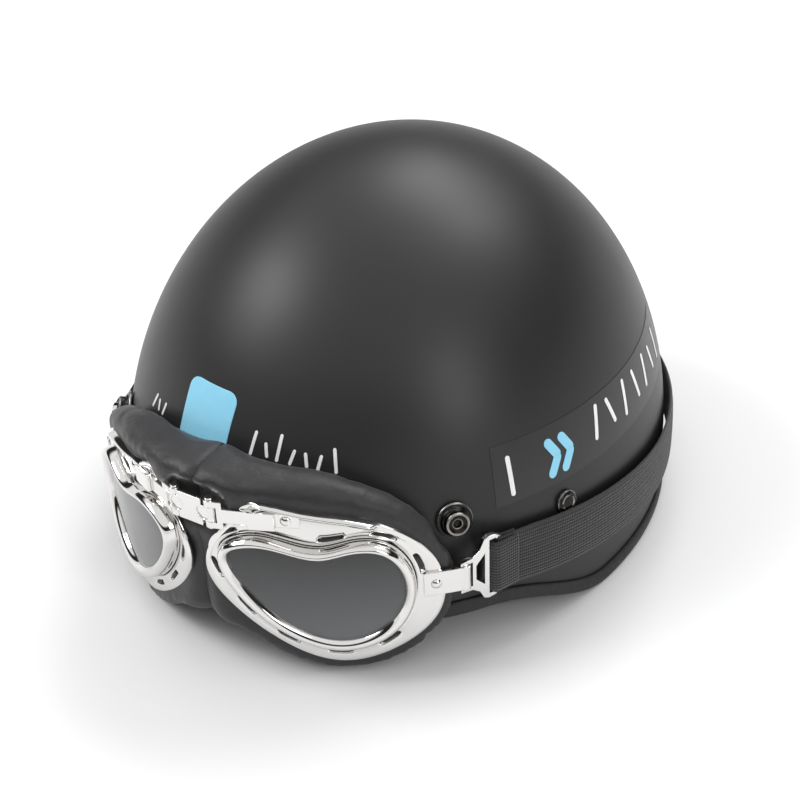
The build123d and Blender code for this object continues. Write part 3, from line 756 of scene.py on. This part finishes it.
def build_laces(gap):
    """A short thread that rises out of each slot and sinks back into it."""
    corners = 8
    points, faces = [], []
    for column in range(gap.shape[1]):
        members = np.where(gap[:, column] < 3.9)[0]
        start = members[np.argmax(np.diff(np.concatenate([[members[-1] - STEPS], members])) > 1)]
        run = [(start + i) % STEPS for i in range(len(members))]
        centre = LENS_MIDDLE + RAY[run] * (BEZEL_R[run] + 2.95)[:, None]
        for i, spot in enumerate(centre):
            ends = min(i, len(run) - 1 - i)
            radius = 0.82 * min(1.0, 0.35 + 0.3 * ends)
            sink = -0.9 if ends == 0 else 0.0
            for turn in np.arange(corners) / corners * TAU:
                along = RAY[run[i]] * radius * math.cos(turn)
                points.append(eye_point(spot[0] + along[0], spot[1] + along[1],
                                        0.05 + sink + radius * math.sin(turn)))
        faces += tube_faces(len(run), corners, len(points) - corners * len(run))
    laces = outward(new_mesh("pad_laces_left", points, faces))
    finish_pair(laces, "pad_laces", "eye", THREAD, "pad_lacing")


def build_lenses():
    """A domed lens: its outside from the middle to the edge, then its inside back to the middle."""
    rows = [eye_ring((LENS_R + 0.9) * part, out + 0.35 * (1 - part * part))
            for out, parts in ((3.5, np.linspace(0.04, 1.0, 16)), (1.6, np.linspace(1.0, 0.04, 12)))
            for part in parts]
    lens = outward(new_mesh("smoke_lens_left", np.concatenate(rows), tube_faces(len(rows), STEPS)))
    finish_pair(lens, "smoke_lens", "eye", LENS, "lens")


# ---------------- face pads
PAD_STEPS = 180
SEAM_X = -1.6  # the two covers pass through each other a little, and so read as one roll with a seam


def onto_shell(flat, offset):
    """How far out the shell is behind each flat point, for a skin that is offset from it."""
    return first_clear(lambda out: outside_of_dome(eye_point(flat[:, 0], flat[:, 1], out), offset) > 1,
                       np.full(len(flat), -60.0), np.full(len(flat), 4.0), 40)


def pad_grid():
    """The pad's skin round the lens: front under the frame, a fat roll outside it, and the shell behind."""
    pick = np.arange(PAD_STEPS) * STEPS // PAD_STEPS
    ray, hole, rim, edge = RAY[pick], HOLE_R[pick], FRAME_R[pick], PAD_R[pick]
    roll = edge - rim
    rows = []

    def row(radius, out=None, lift=None, share=None):
        """One row: out from the frame, lifted off the shell, or a share of the way down to it."""
        flat = LENS_MIDDLE + ray * radius[:, None]
        if out is None:
            floor = onto_shell(flat, 1.3)
            out = floor + lift if share is None else floor * share + (1 - share) * -3.0
        rows.append(eye_point(flat[:, 0], flat[:, 1], out))

    row(hole, -2.3)
    row(hole * 0.5 + rim * 0.5, -1.9)
    row(rim - 1.0, -1.9)
    row(rim + 0.4, -1.1)
    row(rim + 0.22 * roll, 0.6)
    row(rim + 0.5 * roll, 1.0)
    row(rim + 0.78 * roll, -0.4)
    row(rim + 0.97 * roll, -3.0)
    row(rim + 1.03 * roll, share=0.35)
    row(rim + 1.0 * roll, share=0.75)
    row(edge - 1.6, lift=0.9)
    row(edge - 5.0, lift=0.0)
    row(hole * 0.5 + edge * 0.5, lift=0.0)
    row(hole + 1.0, lift=0.3)
    row(hole - 0.6, share=0.5)
    return np.stack(rows, 1)


def settle_pad(points):
    """Keep the pad off the bridge, the stud, the clip's hinge, its twin and the floor."""
    half_wide, half_high, fade = 12.5, 9.5, 2.5  # room round the bridge plate
    x, y, above = points[..., 0], points[..., 1], points[..., 2] - PIN[2]
    near = (np.abs(x) < half_wide) & (np.abs(above) < half_high)
    depth = np.clip((half_wide - np.abs(x)) / fade, 0, 1) * np.clip((half_high - np.abs(above)) / fade, 0, 1)
    behind = y + np.maximum(PIN[1] + 4.1 - y, 0) * depth
    points[..., 1] = np.where(near, behind, y)

    stud_room = 9.6
    place, way = shell_way(*STUD)
    offset = points - place
    across = offset - (offset @ way)[..., None] * way
    distance = np.linalg.norm(across, axis=-1)
    push = np.where((distance < stud_room) & ((offset @ way) > -4), stud_room - distance, 0)
    points += across / np.maximum(distance, 0.01)[..., None] * push[..., None]

    hinge_room = 3.4
    off = points - LOOP_HINGE
    flat = np.hypot(off[..., 0], off[..., 1])
    close = (flat < hinge_room) & (np.abs(off[..., 2]) < 8)
    grow = np.where(close, hinge_room / np.maximum(flat, 0.01), 1)[..., None]
    points[..., :2] = LOOP_HINGE[:2] + off[..., :2] * grow

    points[..., 0] = np.maximum(points[..., 0], SEAM_X)
    points[..., 2] = np.maximum(points[..., 2], 0.4)
    return points


def swell(piece, pressure, cap, last=20):
    """Cloth simulation that puffs a closed skin, with each point held to within cap of where it was."""
    remesh = piece.modifiers.new("even", "REMESH")
    remesh.mode = "VOXEL"
    remesh.voxel_size = 2.6 * MM
    remesh.use_smooth_shade = True
    apply_modifiers(piece)
    before = points_of(piece)
    cloth = piece.modifiers.new("cloth", "CLOTH")
    for name, value in (("quality", 6), ("mass", 0.3), ("tension_stiffness", 15), ("compression_stiffness", 15),
                        ("bending_stiffness", 0.3), ("use_pressure", True), ("uniform_pressure_force", pressure)):
        setattr(cloth.settings, name, value)
    cloth.settings.effector_weights.gravity = 0
    cloth.point_cache.frame_start = 1
    cloth.point_cache.frame_end = last
    scene = bpy.context.scene
    for number in range(1, last + 1):
        scene.frame_set(number)
    graph = bpy.context.evaluated_depsgraph_get()
    move = points_of(piece.evaluated_get(graph)) - before
    piece.modifiers.clear()
    scene.frame_set(1)
    size = np.linalg.norm(move, axis=1, keepdims=True)
    move_points(piece, before + move * np.minimum(1, cap / np.maximum(size, 1e-6)))


def sew_pinches(piece):
    """Short gathers across the pad's outer roll, as the seam draws the cover in."""
    points = points_of(piece)
    local = points - PIN
    along = local @ EYE_X
    up = local[:, 2]
    turn = np.mod(np.arctan2(up - LENS_MIDDLE[1], along - LENS_MIDDLE[0]), TAU)
    radius = np.hypot(along - LENS_MIDDLE[0], up - LENS_MIDDLE[1])
    rim = np.interp(turn, TURNS, FRAME_R, period=TAU)
    outside = np.clip((radius - rim - 2.0) / 4.0, 0, 1)
    deep = np.zeros(len(points))
    for degrees, strength in ((60, 0.5), (72, 0.7), (101, 0.9), (118, 0.5), (28, 0.4), (330, 0.5), (262, 0.5)):
        gap = np.abs(np.mod(turn - math.radians(degrees) + math.pi, TAU) - math.pi) * radius
        deep += strength * (0.7 * np.exp(-(gap / 1.1) ** 2) + 0.5 * np.exp(-(gap / 5.0) ** 2))
    centre = LENS_MIDDLE[None, :] + (radius * 0.86)[:, None] * np.stack([np.cos(turn), np.sin(turn)], -1)
    inward = eye_point(centre[:, 0], centre[:, 1], -6.0) - points
    inward /= np.maximum(np.linalg.norm(inward, axis=1, keepdims=True), 0.01)
    points += inward * (deep * outside)[:, None]
    front = np.clip((outside_of_dome(points, 0.0) - 1.0) / 0.08, 0, 1)
    below_bridge = np.clip((72.0 - points[:, 2]) / 10.0, 0, 1)
    points[:, 1] += (0.5 + 3.5 * below_bridge) * np.exp(-(points[:, 0] / 4.0) ** 2) * front
    move_points(piece, points)


def build_pads():
    grid = settle_pad(pad_grid())
    pad = ring_mesh("face_pad_cover_left", grid)
    smooth_more(pad)
    apply_modifiers(pad)
    swell(pad, 4.0, 1.6)
    sew_pinches(pad)
    points = settle_pad(points_of(pad))
    inside = outside_of_dome(points, 0.7) < 1
    forward = first_clear(lambda move: outside_of_dome(points + move[:, None] * EYE_OUT, 0.7) > 1,
                          np.zeros(len(points)), np.full(len(points), 12.0), 24)
    move_points(pad, points + (forward * inside)[:, None] * EYE_OUT)
    even = pad.modifiers.new("even", "SMOOTH")
    even.factor = 0.5
    even.iterations = 5
    smooth_more(pad)
    apply_modifiers(pad)
    for polygon in pad.data.polygons:
        polygon.use_smooth = True
    twin = mirrored(pad, "face_pad_cover_right")
    for piece, word, side in ((pad, "left", 1), (twin, "right", -1)):
        start, end = ((side * x * MM, PIN[1] * MM, PIN[2] * MM) for x in (3.0, 15.0))
        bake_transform(piece, "goggles", f"eye_{word}", start, end)
        stands_for = [f"face_pad_{word}"] + (["nose_pad"] if side > 0 else [])
        finish_piece(piece, f"eye_{word}", LEATHER, stands_for)


# ---------------- elastic strap
def strap_height(y):
    ys, zs = zip(*STRAP_LINE)
    return np.interp(y - MIDDLE_Y, ys, zs)


def strap_angle(y):
    """The angle round the shell at which the strap passes a given Y, on the wearer's left."""
    return math.acos(max(-1.0, min(1.0, -(y - MIDDLE_Y) / STRAP_REACH)))


ROD = LOOP_HINGE + ROD_AT * LOOP_ALONG
LEAVE = LOOP_HINGE + (ROD_AT + 18.3) * LOOP_ALONG  # where the strap meets the shell
SIDE_START = -38.0  # Y at which the strap's side piece starts
SIDE_END = MIDDLE_Y + 20.0
ACROSS = np.linspace(-1, 1, 73)
RIBS = 9
RIB_HEIGHT = 0.14


def tape_section(thick=STRAP_THICK, half=STRAP_HALF):
    """Half widths and heights round a flat tape with rounded edges and ribs along its length."""
    edge = 1 - np.abs(ACROSS) ** 14
    ribs = RIB_HEIGHT * (1 - np.abs(np.cos(ACROSS * RIBS * math.pi / 2)))
    top = np.stack([ACROSS * half, thick * (0.5 + 0.5 * edge) - ribs], -1)
    bottom = np.stack([ACROSS * half, thick * (0.5 - 0.5 * edge)], -1)
    return np.concatenate([top, bottom[::-1]])


def strap_ring(angle, y, section):
    """The tape's section where it lies on the shell, at an angle round it and at that place's Y."""
    return shell_point(angle, strap_height(y) + section[:, 0], STRAP_LIFT + section[:, 1])


def strap_station(y, section):
    return strap_ring(strap_angle(y), y, section)


def rod_ring(section, along, out):
    """A tape's section beside the loop's rod: along the loop and off the head, for each of its points."""
    up = section[:, 0] + strap_height(ROD[1]) - ROD[2]
    return ROD + np.multiply.outer(along, LOOP_ALONG) + np.multiply.outer(out, LOOP_FACE) \
        + np.multiply.outer(up, [0, 0, 1])


def straight_station(part, section):
    """The tape's section between the loop's rod and where it meets the shell."""
    meets = strap_station(LEAVE[1], section)
    start = rod_ring(section, 0.0, section[:, 1] - STRAP_THICK / 2)
    return start + (meets - start) * part


def weave_map(lengths, section):
    """The weave's map: metres along the tape, and metres across it."""
    uv = np.zeros((len(lengths), len(section), 2))
    uv[:, :, 0] = np.array(lengths)[:, None] * MM
    uv[:, :, 1] = section[:, 0] * MM
    return uv


def tape(name, stations, section):
    stations = np.stack(stations)
    steps = np.linalg.norm(np.diff(stations.mean(1), axis=0), axis=1)
    return strip_mesh(name, stations, weave_map([0, *np.cumsum(steps)], section))


def build_strap():
    section = tape_section()
    near = [straight_station(part, section) for part in np.linspace(0.02, 0.42, 8)]
    middle = [straight_station(part, section) for part in np.linspace(0.42, 1.0, 12)]
    middle += [strap_station(y, section) for y in np.linspace(LEAVE[1] + 1.5, SIDE_START, 14)]
    side = [strap_station(y, section) for y in np.linspace(SIDE_START, SIDE_END, 26)]
    for key, stations, first, body, next_body in (("near", near, 1, "loop_{}", "eye_{}"),
                                                  ("middle", middle, 0, "eye_{}", "goggles"),
                                                  ("side", side, 0, "goggles", "helmet")):
        piece = tape(f"strap_{key}_left", stations, section)
        for half, word, flip in ((piece, "left", 1), (mirrored(piece, f"strap_{key}_right"), "right", -1)):
            start, end = (tuple(s.mean(0) * (flip, 1, 1) * MM) for s in (stations[first], stations[-1]))
            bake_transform(half, body.format(word), next_body.format(word), start, end)
            stands_for = [f"strap_side_{word}"] if key == "side" else []
            finish_piece(half, next_body.format(word), ELASTIC, stands_for)


def build_strap_rear():
    section = tape_section()
    start = strap_angle(SIDE_END)
    stations = []
    for angle in np.linspace(start, TAU - start, 90):
        stations.append(strap_ring(angle, MIDDLE_Y - STRAP_REACH * math.cos(angle), section))
    finish_piece(tape("strap_rear", stations, section), "helmet", ELASTIC, ["strap_back"])


def build_strap_fold():
    """The strap's end: from the tape, round the loop's rod and back along the tape's inner side."""
    thick, radius = 1.6, 2.35
    section = tape_section(thick, 12.3)
    path = [(9.0, 1.65)]  # along the loop, and off the head
    path += [(radius * math.sin(t), radius * math.cos(t)) for t in np.linspace(0.15, -math.pi, 12)]
    path = np.array(path + [(3.0, -2.0), (6.0, -1.6), (9.5, -1.4)])
    stations = []
    for i, spot in enumerate(path):
        tangent = path[min(i + 1, len(path) - 1)] - path[max(i - 1, 0)]
        tangent /= np.linalg.norm(tangent)
        normal = np.array([-tangent[1], tangent[0]])
        along, out = (spot + np.multiply.outer(section[:, 1] - thick / 2, normal)).T
        stations.append(rod_ring(section, along, out))
    fold = tape("strap_fold_left", stations, section)
    finish_pair(fold, "strap_fold", "loop", ELASTIC, "strap_end")


# ---------------- chin strap
WEB_THICK, WEB_HALF = 1.5, 9.9


def chin_tape(name, side, inner_x, body, node):
    """Webbing that hangs inside the shell and lies folded in under the rim."""
    low, high = node_box("chin_strap_left")
    bend = 15.0
    web_x, lie = high[0] - 0.8, low[2] + 0.8
    middle_y = (low[1] + high[1]) / 2
    path = [(web_x, z, 0.0) for z in np.linspace(high[2] - 0.5, lie + bend, 8)]
    path += [(web_x - bend + bend * math.cos(t), lie + bend - bend * math.sin(t), t)
             for t in np.linspace(0.12, math.pi / 2, 12)]
    path += [(x, lie, math.pi / 2) for x in np.linspace(web_x - bend - 2, inner_x, 24)]
    section = tape_section(WEB_THICK, WEB_HALF)
    off = section[:, 1] - WEB_THICK / 2
    stations = [np.stack([side * (x + off * math.cos(turn)), middle_y + section[:, 0], z - off * math.sin(turn)], -1)
                for x, z, turn in path]
    piece = tape(name, stations, section)
    if body != "helmet":
        start, end = ((side * x * MM, middle_y * MM, lie * MM) for x in (web_x - bend, inner_x))
        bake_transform(piece, "helmet", body, start, end)
    finish_piece(piece, body, WEBBING, [node])


def blunt(value, power):
    """A sine or cosine, squared off towards its box's corner."""
    return math.copysign(abs(value) ** power, value)


def build_chin_webbing():
    low, high = node_box("chin_strap_left")
    chin_tape("chin_webbing_left", 1, low[0], "helmet", "chin_strap_left")
    low, high = node_box("chin_strap_right")
    chin_tape("chin_webbing_right", -1, -high[0], "chin_tongue", "chin_strap_right")

    low, high = node_box("chin_strap_ring")
    middle, half = (low + high) / 2, (high - low) / 2
    steps = 28
    path = np.array([(middle[0] + half[0] * 0.82 * blunt(math.cos(t), 0.5), middle[2] + 2.05 * blunt(math.sin(t), 0.5))
                     for t in np.arange(steps) / steps * TAU])
    section = tape_section(WEB_THICK, WEB_HALF)
    off = section[:, 1] - WEB_THICK / 2
    stations = []
    for i, (x, z) in enumerate(path):
        way = path[(i + 1) % steps] - path[i - 1]
        way /= np.linalg.norm(way)
        stations.append(np.stack([x + way[1] * off, middle[1] + section[:, 0], z - way[0] * off], -1))
    loop = ring_mesh("chin_webbing_ring", np.stack(stations))
    lay_weave(loop, weave_map(np.arange(steps) * 0.8, section))
    finish_piece(loop, "chin_tongue", WEBBING, ["chin_strap_ring"])


def build_chin_pad():
    low, high = node_box("chin_pad")
    middle, half = (low + high) / 2, (high - low) / 2
    turns = np.arange(40) / 40 * TAU
    stations = []
    for part in np.linspace(-1, 1, 33):
        puff = (1 - abs(part) ** 6) ** 0.5
        seam = 1 - 0.14 * math.exp(-((abs(part) - 0.5) / 0.03) ** 2)
        wide, thick = 12.2 * (0.86 + 0.14 * puff), 0.35 + 3.8 * puff * seam
        stations.append([(middle[0] + part * half[0] * 0.99, middle[1] + wide * blunt(math.cos(t), 0.7),
                          middle[2] + thick * blunt(math.sin(t), 0.6)) for t in turns])
    pad = strip_mesh("chin_pad_cushion", np.array(stations))
    smooth_more(pad)
    finish_piece(pad, "chin_pad", LINING, ["chin_pad"])


# ---------------- films on the shell
def shell_at(angle, height, along, up, lift):
    """A point on the shell a distance along and up from a starting angle and height."""
    base = math.radians(angle)
    level = max(0.0, (height + up - SKIRT) / RISE)
    speed = math.sqrt(1 - level**2) * math.hypot(HALF_WIDTH * math.cos(base), HALF_LENGTH * math.sin(base))
    tilt = math.sqrt(1 - min(0.9, level * 0.9) ** 2)
    return shell_point(base + along / speed, height + up * tilt, lift)


def thicken_film(piece, thick):
    """Give a film its thickness, with the edge kept crisp."""
    solid = piece.modifiers.new("film", "SOLIDIFY")
    solid.thickness = thick * MM
    apply_modifiers(piece)
    middle = Vector((0, MIDDLE_Y * MM, 0))
    for polygon in piece.data.polygons:
        way = (polygon.center - middle).normalized()
        polygon.use_smooth = abs(polygon.normal.dot(way)) > 0.45


def film(name, outline, angle, height, material, lift=0.16):
    """A thin convex film on the shell: outline in millimetres along and up from its middle."""
    low, high = outline[:, 1].min(), outline[:, 1].max()
    shares = np.array([0, 0.02, 0.15, 0.3, 0.5, 0.7, 0.85, 0.98, 1])  # across, close together at the edges
    rows = []
    for v in np.linspace(low + 0.02, high - 0.02, max(6, int((high - low) / 0.3))):
        cuts = [a[0] + (b[0] - a[0]) * (v - a[1]) / (b[1] - a[1])
                for a, b in zip(outline, np.roll(outline, -1, 0)) if (a[1] - v) * (b[1] - v) < 0]
        across = min(cuts) + (max(cuts) - min(cuts)) * shares
        rows.append(shell_at(angle, height, across, v, lift))
    piece = new_mesh(name, np.concatenate(rows), grid_faces(len(rows), len(shares)))
    thicken_film(piece, 0.1)
    finish_piece(piece, "helmet", material)


def bar(length, width, lean, along=0.0, up=0.0):
    """A rounded bar's outline."""
    turn = math.radians(90 - lean)
    way = np.array([math.cos(turn), math.sin(turn)])
    side = np.array([-way[1], way[0]])
    points = []
    for end in (1, -1):
        for t in np.radians(np.linspace(-90, 90, 7)):
            corner = (length - width) / 2 * way + (way * math.cos(t) - side * math.sin(t)) * width / 2
            points.append(end * corner)
    hull = np.array(points) + (along, up)
    spread = hull - hull.mean(0)
    return hull[np.argsort(np.arctan2(spread[:, 1], spread[:, 0]))]


def dashes(name, marks, width, lift):
    """Plain white bars in a row: each has its angle round the shell, height, length and lean."""
    for i, (angle, height, length, lean) in enumerate(marks):
        film(f"{name}_{i}", bar(length, width, lean), angle, height, WHITE, lift)


def build_films():
    half_wide, half_high, radius = 8.0, 11.0, 5.0
    plate = [(half_wide * right + radius * math.cos(t), half_high * up + radius * math.sin(t))
             for right, up, start in ((1, 1, 0), (-1, 1, 90), (-1, -1, 180), (1, -1, 270))
             for t in np.radians(np.linspace(start, start + 90, 8))]
    film("front_mark", np.array(plate), -8.5, 93, BLUE)
    dashes("front_dash", (
        (-27.5, 87.5, 7.0, 18), (-25.2, 87.6, 5.0, -14), (-22.8, 88.0, 6.0, 12),
        (5.0, 92.5, 10.0, 8), (8.2, 91.0, 6.0, -12), (11.0, 92.6, 11.0, 6), (14.0, 90.0, 6.5, 16),
        (17.0, 89.6, 6.0, -10), (19.8, 89.0, 6.5, 12), (23.0, 90.0, 10.0, -6)), 1.3, 0.16)
    dashes("side_dash", (
        (57.0, 74.5, 17.0, -3), (79.0, 77.5, 15.0, 14), (84.0, 77.5, 13.0, -16), (89.5, 77.0, 16.0, 10),
        (95.0, 77.0, 14.0, -8), (100.5, 76.5, 15.0, 12), (106.0, 76.0, 12.0, -6), (112.0, 75.5, 15.0, 8)), 2.0, 0.30)
    for i, shift in enumerate((0.0, 7.2)):
        for word, lean, up in (("low", 32, -3.6), ("high", -32, 3.6)):
            film(f"side_chevron_{word}_{i}", bar(10.6, 4.0, lean, shift - 2.5, up), 68.0, 74.5, BLUE, 0.30)

    # the clear film under the side marks, with extra rows close to its edges
    levels = [63.5, 63.55, *np.linspace(65.5, 85.0, 10), 86.95, 87.0]
    angles = [53.5, 53.52, *np.linspace(54.2, 117.3, 88), 117.98, 118.0]
    band = [shell_point(math.radians(angle), levels, 0.08) for angle in angles]
    piece = new_mesh("side_film", np.concatenate(band), grid_faces(len(band), len(levels)))
    thicken_film(piece, 0.05)
    finish_piece(piece, "helmet", CLEAR_FILM)


# ---------------- everything that keeps its CAD shape
def paint_cad_shapes():
    paint_node("impact_foam", FOAM)
    paint_node("bridge_plate", CHROME)
    for name in ("bridge_pin", "bridge_arm", "arm_keeper", "arm_rivet", "temple_clip", "temple_rivet", "strap_loop"):
        for word in ("left", "right"):
            paint_node(f"{name}_{word}", CHROME)
    for name in ("chin_buckle_housing", "chin_buckle_tongue", "chin_ladder_lock", "strap_slider"):
        paint_node(name, PLASTIC)
    paint_node("chin_buckle_lever", RED)
    paint_node("chin_buckle_pin", STEEL)


# ---------------- floor, light, camera
VIEW_AZIMUTH = math.radians(32.87)
VIEW_ELEVATION = math.radians(31.72)
VIEW_ROLL = math.radians(-2.44)
VIEW_DISTANCE = 0.6385
VIEW_FOCAL = 1.75075  # focal length over image width
VIEW_TARGET = Vector((0, MIDDLE_Y * MM, 0.060))
VIEW_DROP = 0.045  # share of the image by which the view is lowered
SENSOR = 36  # millimetres
SKY_GREY = 0.95
# the surroundings that the chrome mirrors, from the height's sine: a dark curtain between two bright bands
CURTAIN = ((0.15, 0.95), (0.18, 0.03), (0.47, 0.02), (0.53, 0.30), (0.62, 1.0))


def build_stage():
    bpy.ops.mesh.primitive_grid_add(x_subdivisions=8, y_subdivisions=8, size=9, location=(0, 0, -0.0002))
    floor = bpy.context.object
    floor.name = "studio_floor"
    floor.data.materials.append(make_floor())


def area_light(name, place, target, size, power):
    light = bpy.data.lights.new(name, "AREA")
    light.shape = "RECTANGLE"
    light.size, light.size_y = size
    light.energy = power
    lamp = bpy.data.objects.new(name, light)
    bpy.context.scene.collection.objects.link(lamp)
    lamp.location = place
    way = Vector(target) - Vector(place)
    lamp.rotation_euler = way.to_track_quat("-Z", "Y").to_euler()


def build_light():
    area_light("key_left", (-1.2, -0.7, 1.5), (0, 0, 0.08), (0.9, 0.7), 18)
    area_light("top_back", (0.1, 1.0, 1.5), (0, 0, 0.1), (1.4, 0.6), 16)
    area_light("fill_right", (1.5, -0.5, 0.9), (0, 0, 0.08), (0.4, 0.8), 6)
    world = bpy.data.worlds.new("studio")
    bpy.context.scene.world = world
    world.use_nodes = True
    tree = world.node_tree
    way = tree.nodes.new("ShaderNodeTexCoord")
    split = tree.nodes.new("ShaderNodeSeparateXYZ")
    ramp = tree.nodes.new("ShaderNodeValToRGB")
    tree.links.new(way.outputs["Generated"], split.inputs[0])
    tree.links.new(split.outputs["Z"], ramp.inputs["Fac"])
    tree.links.new(ramp.outputs["Color"], tree.nodes["Background"].inputs["Color"])
    tree.nodes["Background"].inputs["Strength"].default_value = 1.0
    stops = ramp.color_ramp.elements
    for spot, grey in CURTAIN:
        stops.new(spot).color = (grey, grey, grey, 1)
    stops[0].color = stops[-1].color = (SKY_GREY, SKY_GREY, SKY_GREY, 1)


def build_camera():
    a, e, r = VIEW_AZIMUTH, VIEW_ELEVATION, VIEW_ROLL
    back = Vector((math.sin(a) * math.cos(e), -math.cos(a) * math.cos(e), math.sin(e)))
    right = Vector((math.cos(a), math.sin(a), 0))
    up = back.cross(right)
    right, up = right * math.cos(r) + up * math.sin(r), up * math.cos(r) - right * math.sin(r)
    data = bpy.data.cameras.new("camera")
    data.sensor_width = SENSOR
    data.lens = VIEW_FOCAL * SENSOR
    data.clip_start = 0.02
    data.shift_y = -VIEW_DROP
    camera = bpy.data.objects.new("camera", data)
    bpy.context.scene.collection.objects.link(camera)
    turn = Matrix((right, up, back)).transposed().to_4x4()
    camera.matrix_world = Matrix.Translation(VIEW_TARGET + back * VIEW_DISTANCE) @ turn
    bpy.context.scene.camera = camera


build_camera()
build_stage()
build_light()
build_shell()
build_trim()
build_head_band()
build_crown_pad()
build_studs()
build_bezel()
slot_marks, slot_gaps = lace_marks()
build_flange(slot_marks)
build_laces(slot_gaps)
build_lenses()
build_pads()
build_strap()
build_strap_rear()
build_strap_fold()
build_chin_webbing()
build_chin_pad()
build_films()
paint_cad_shapes()
bpy.context.scene.view_settings.view_transform = "Standard"
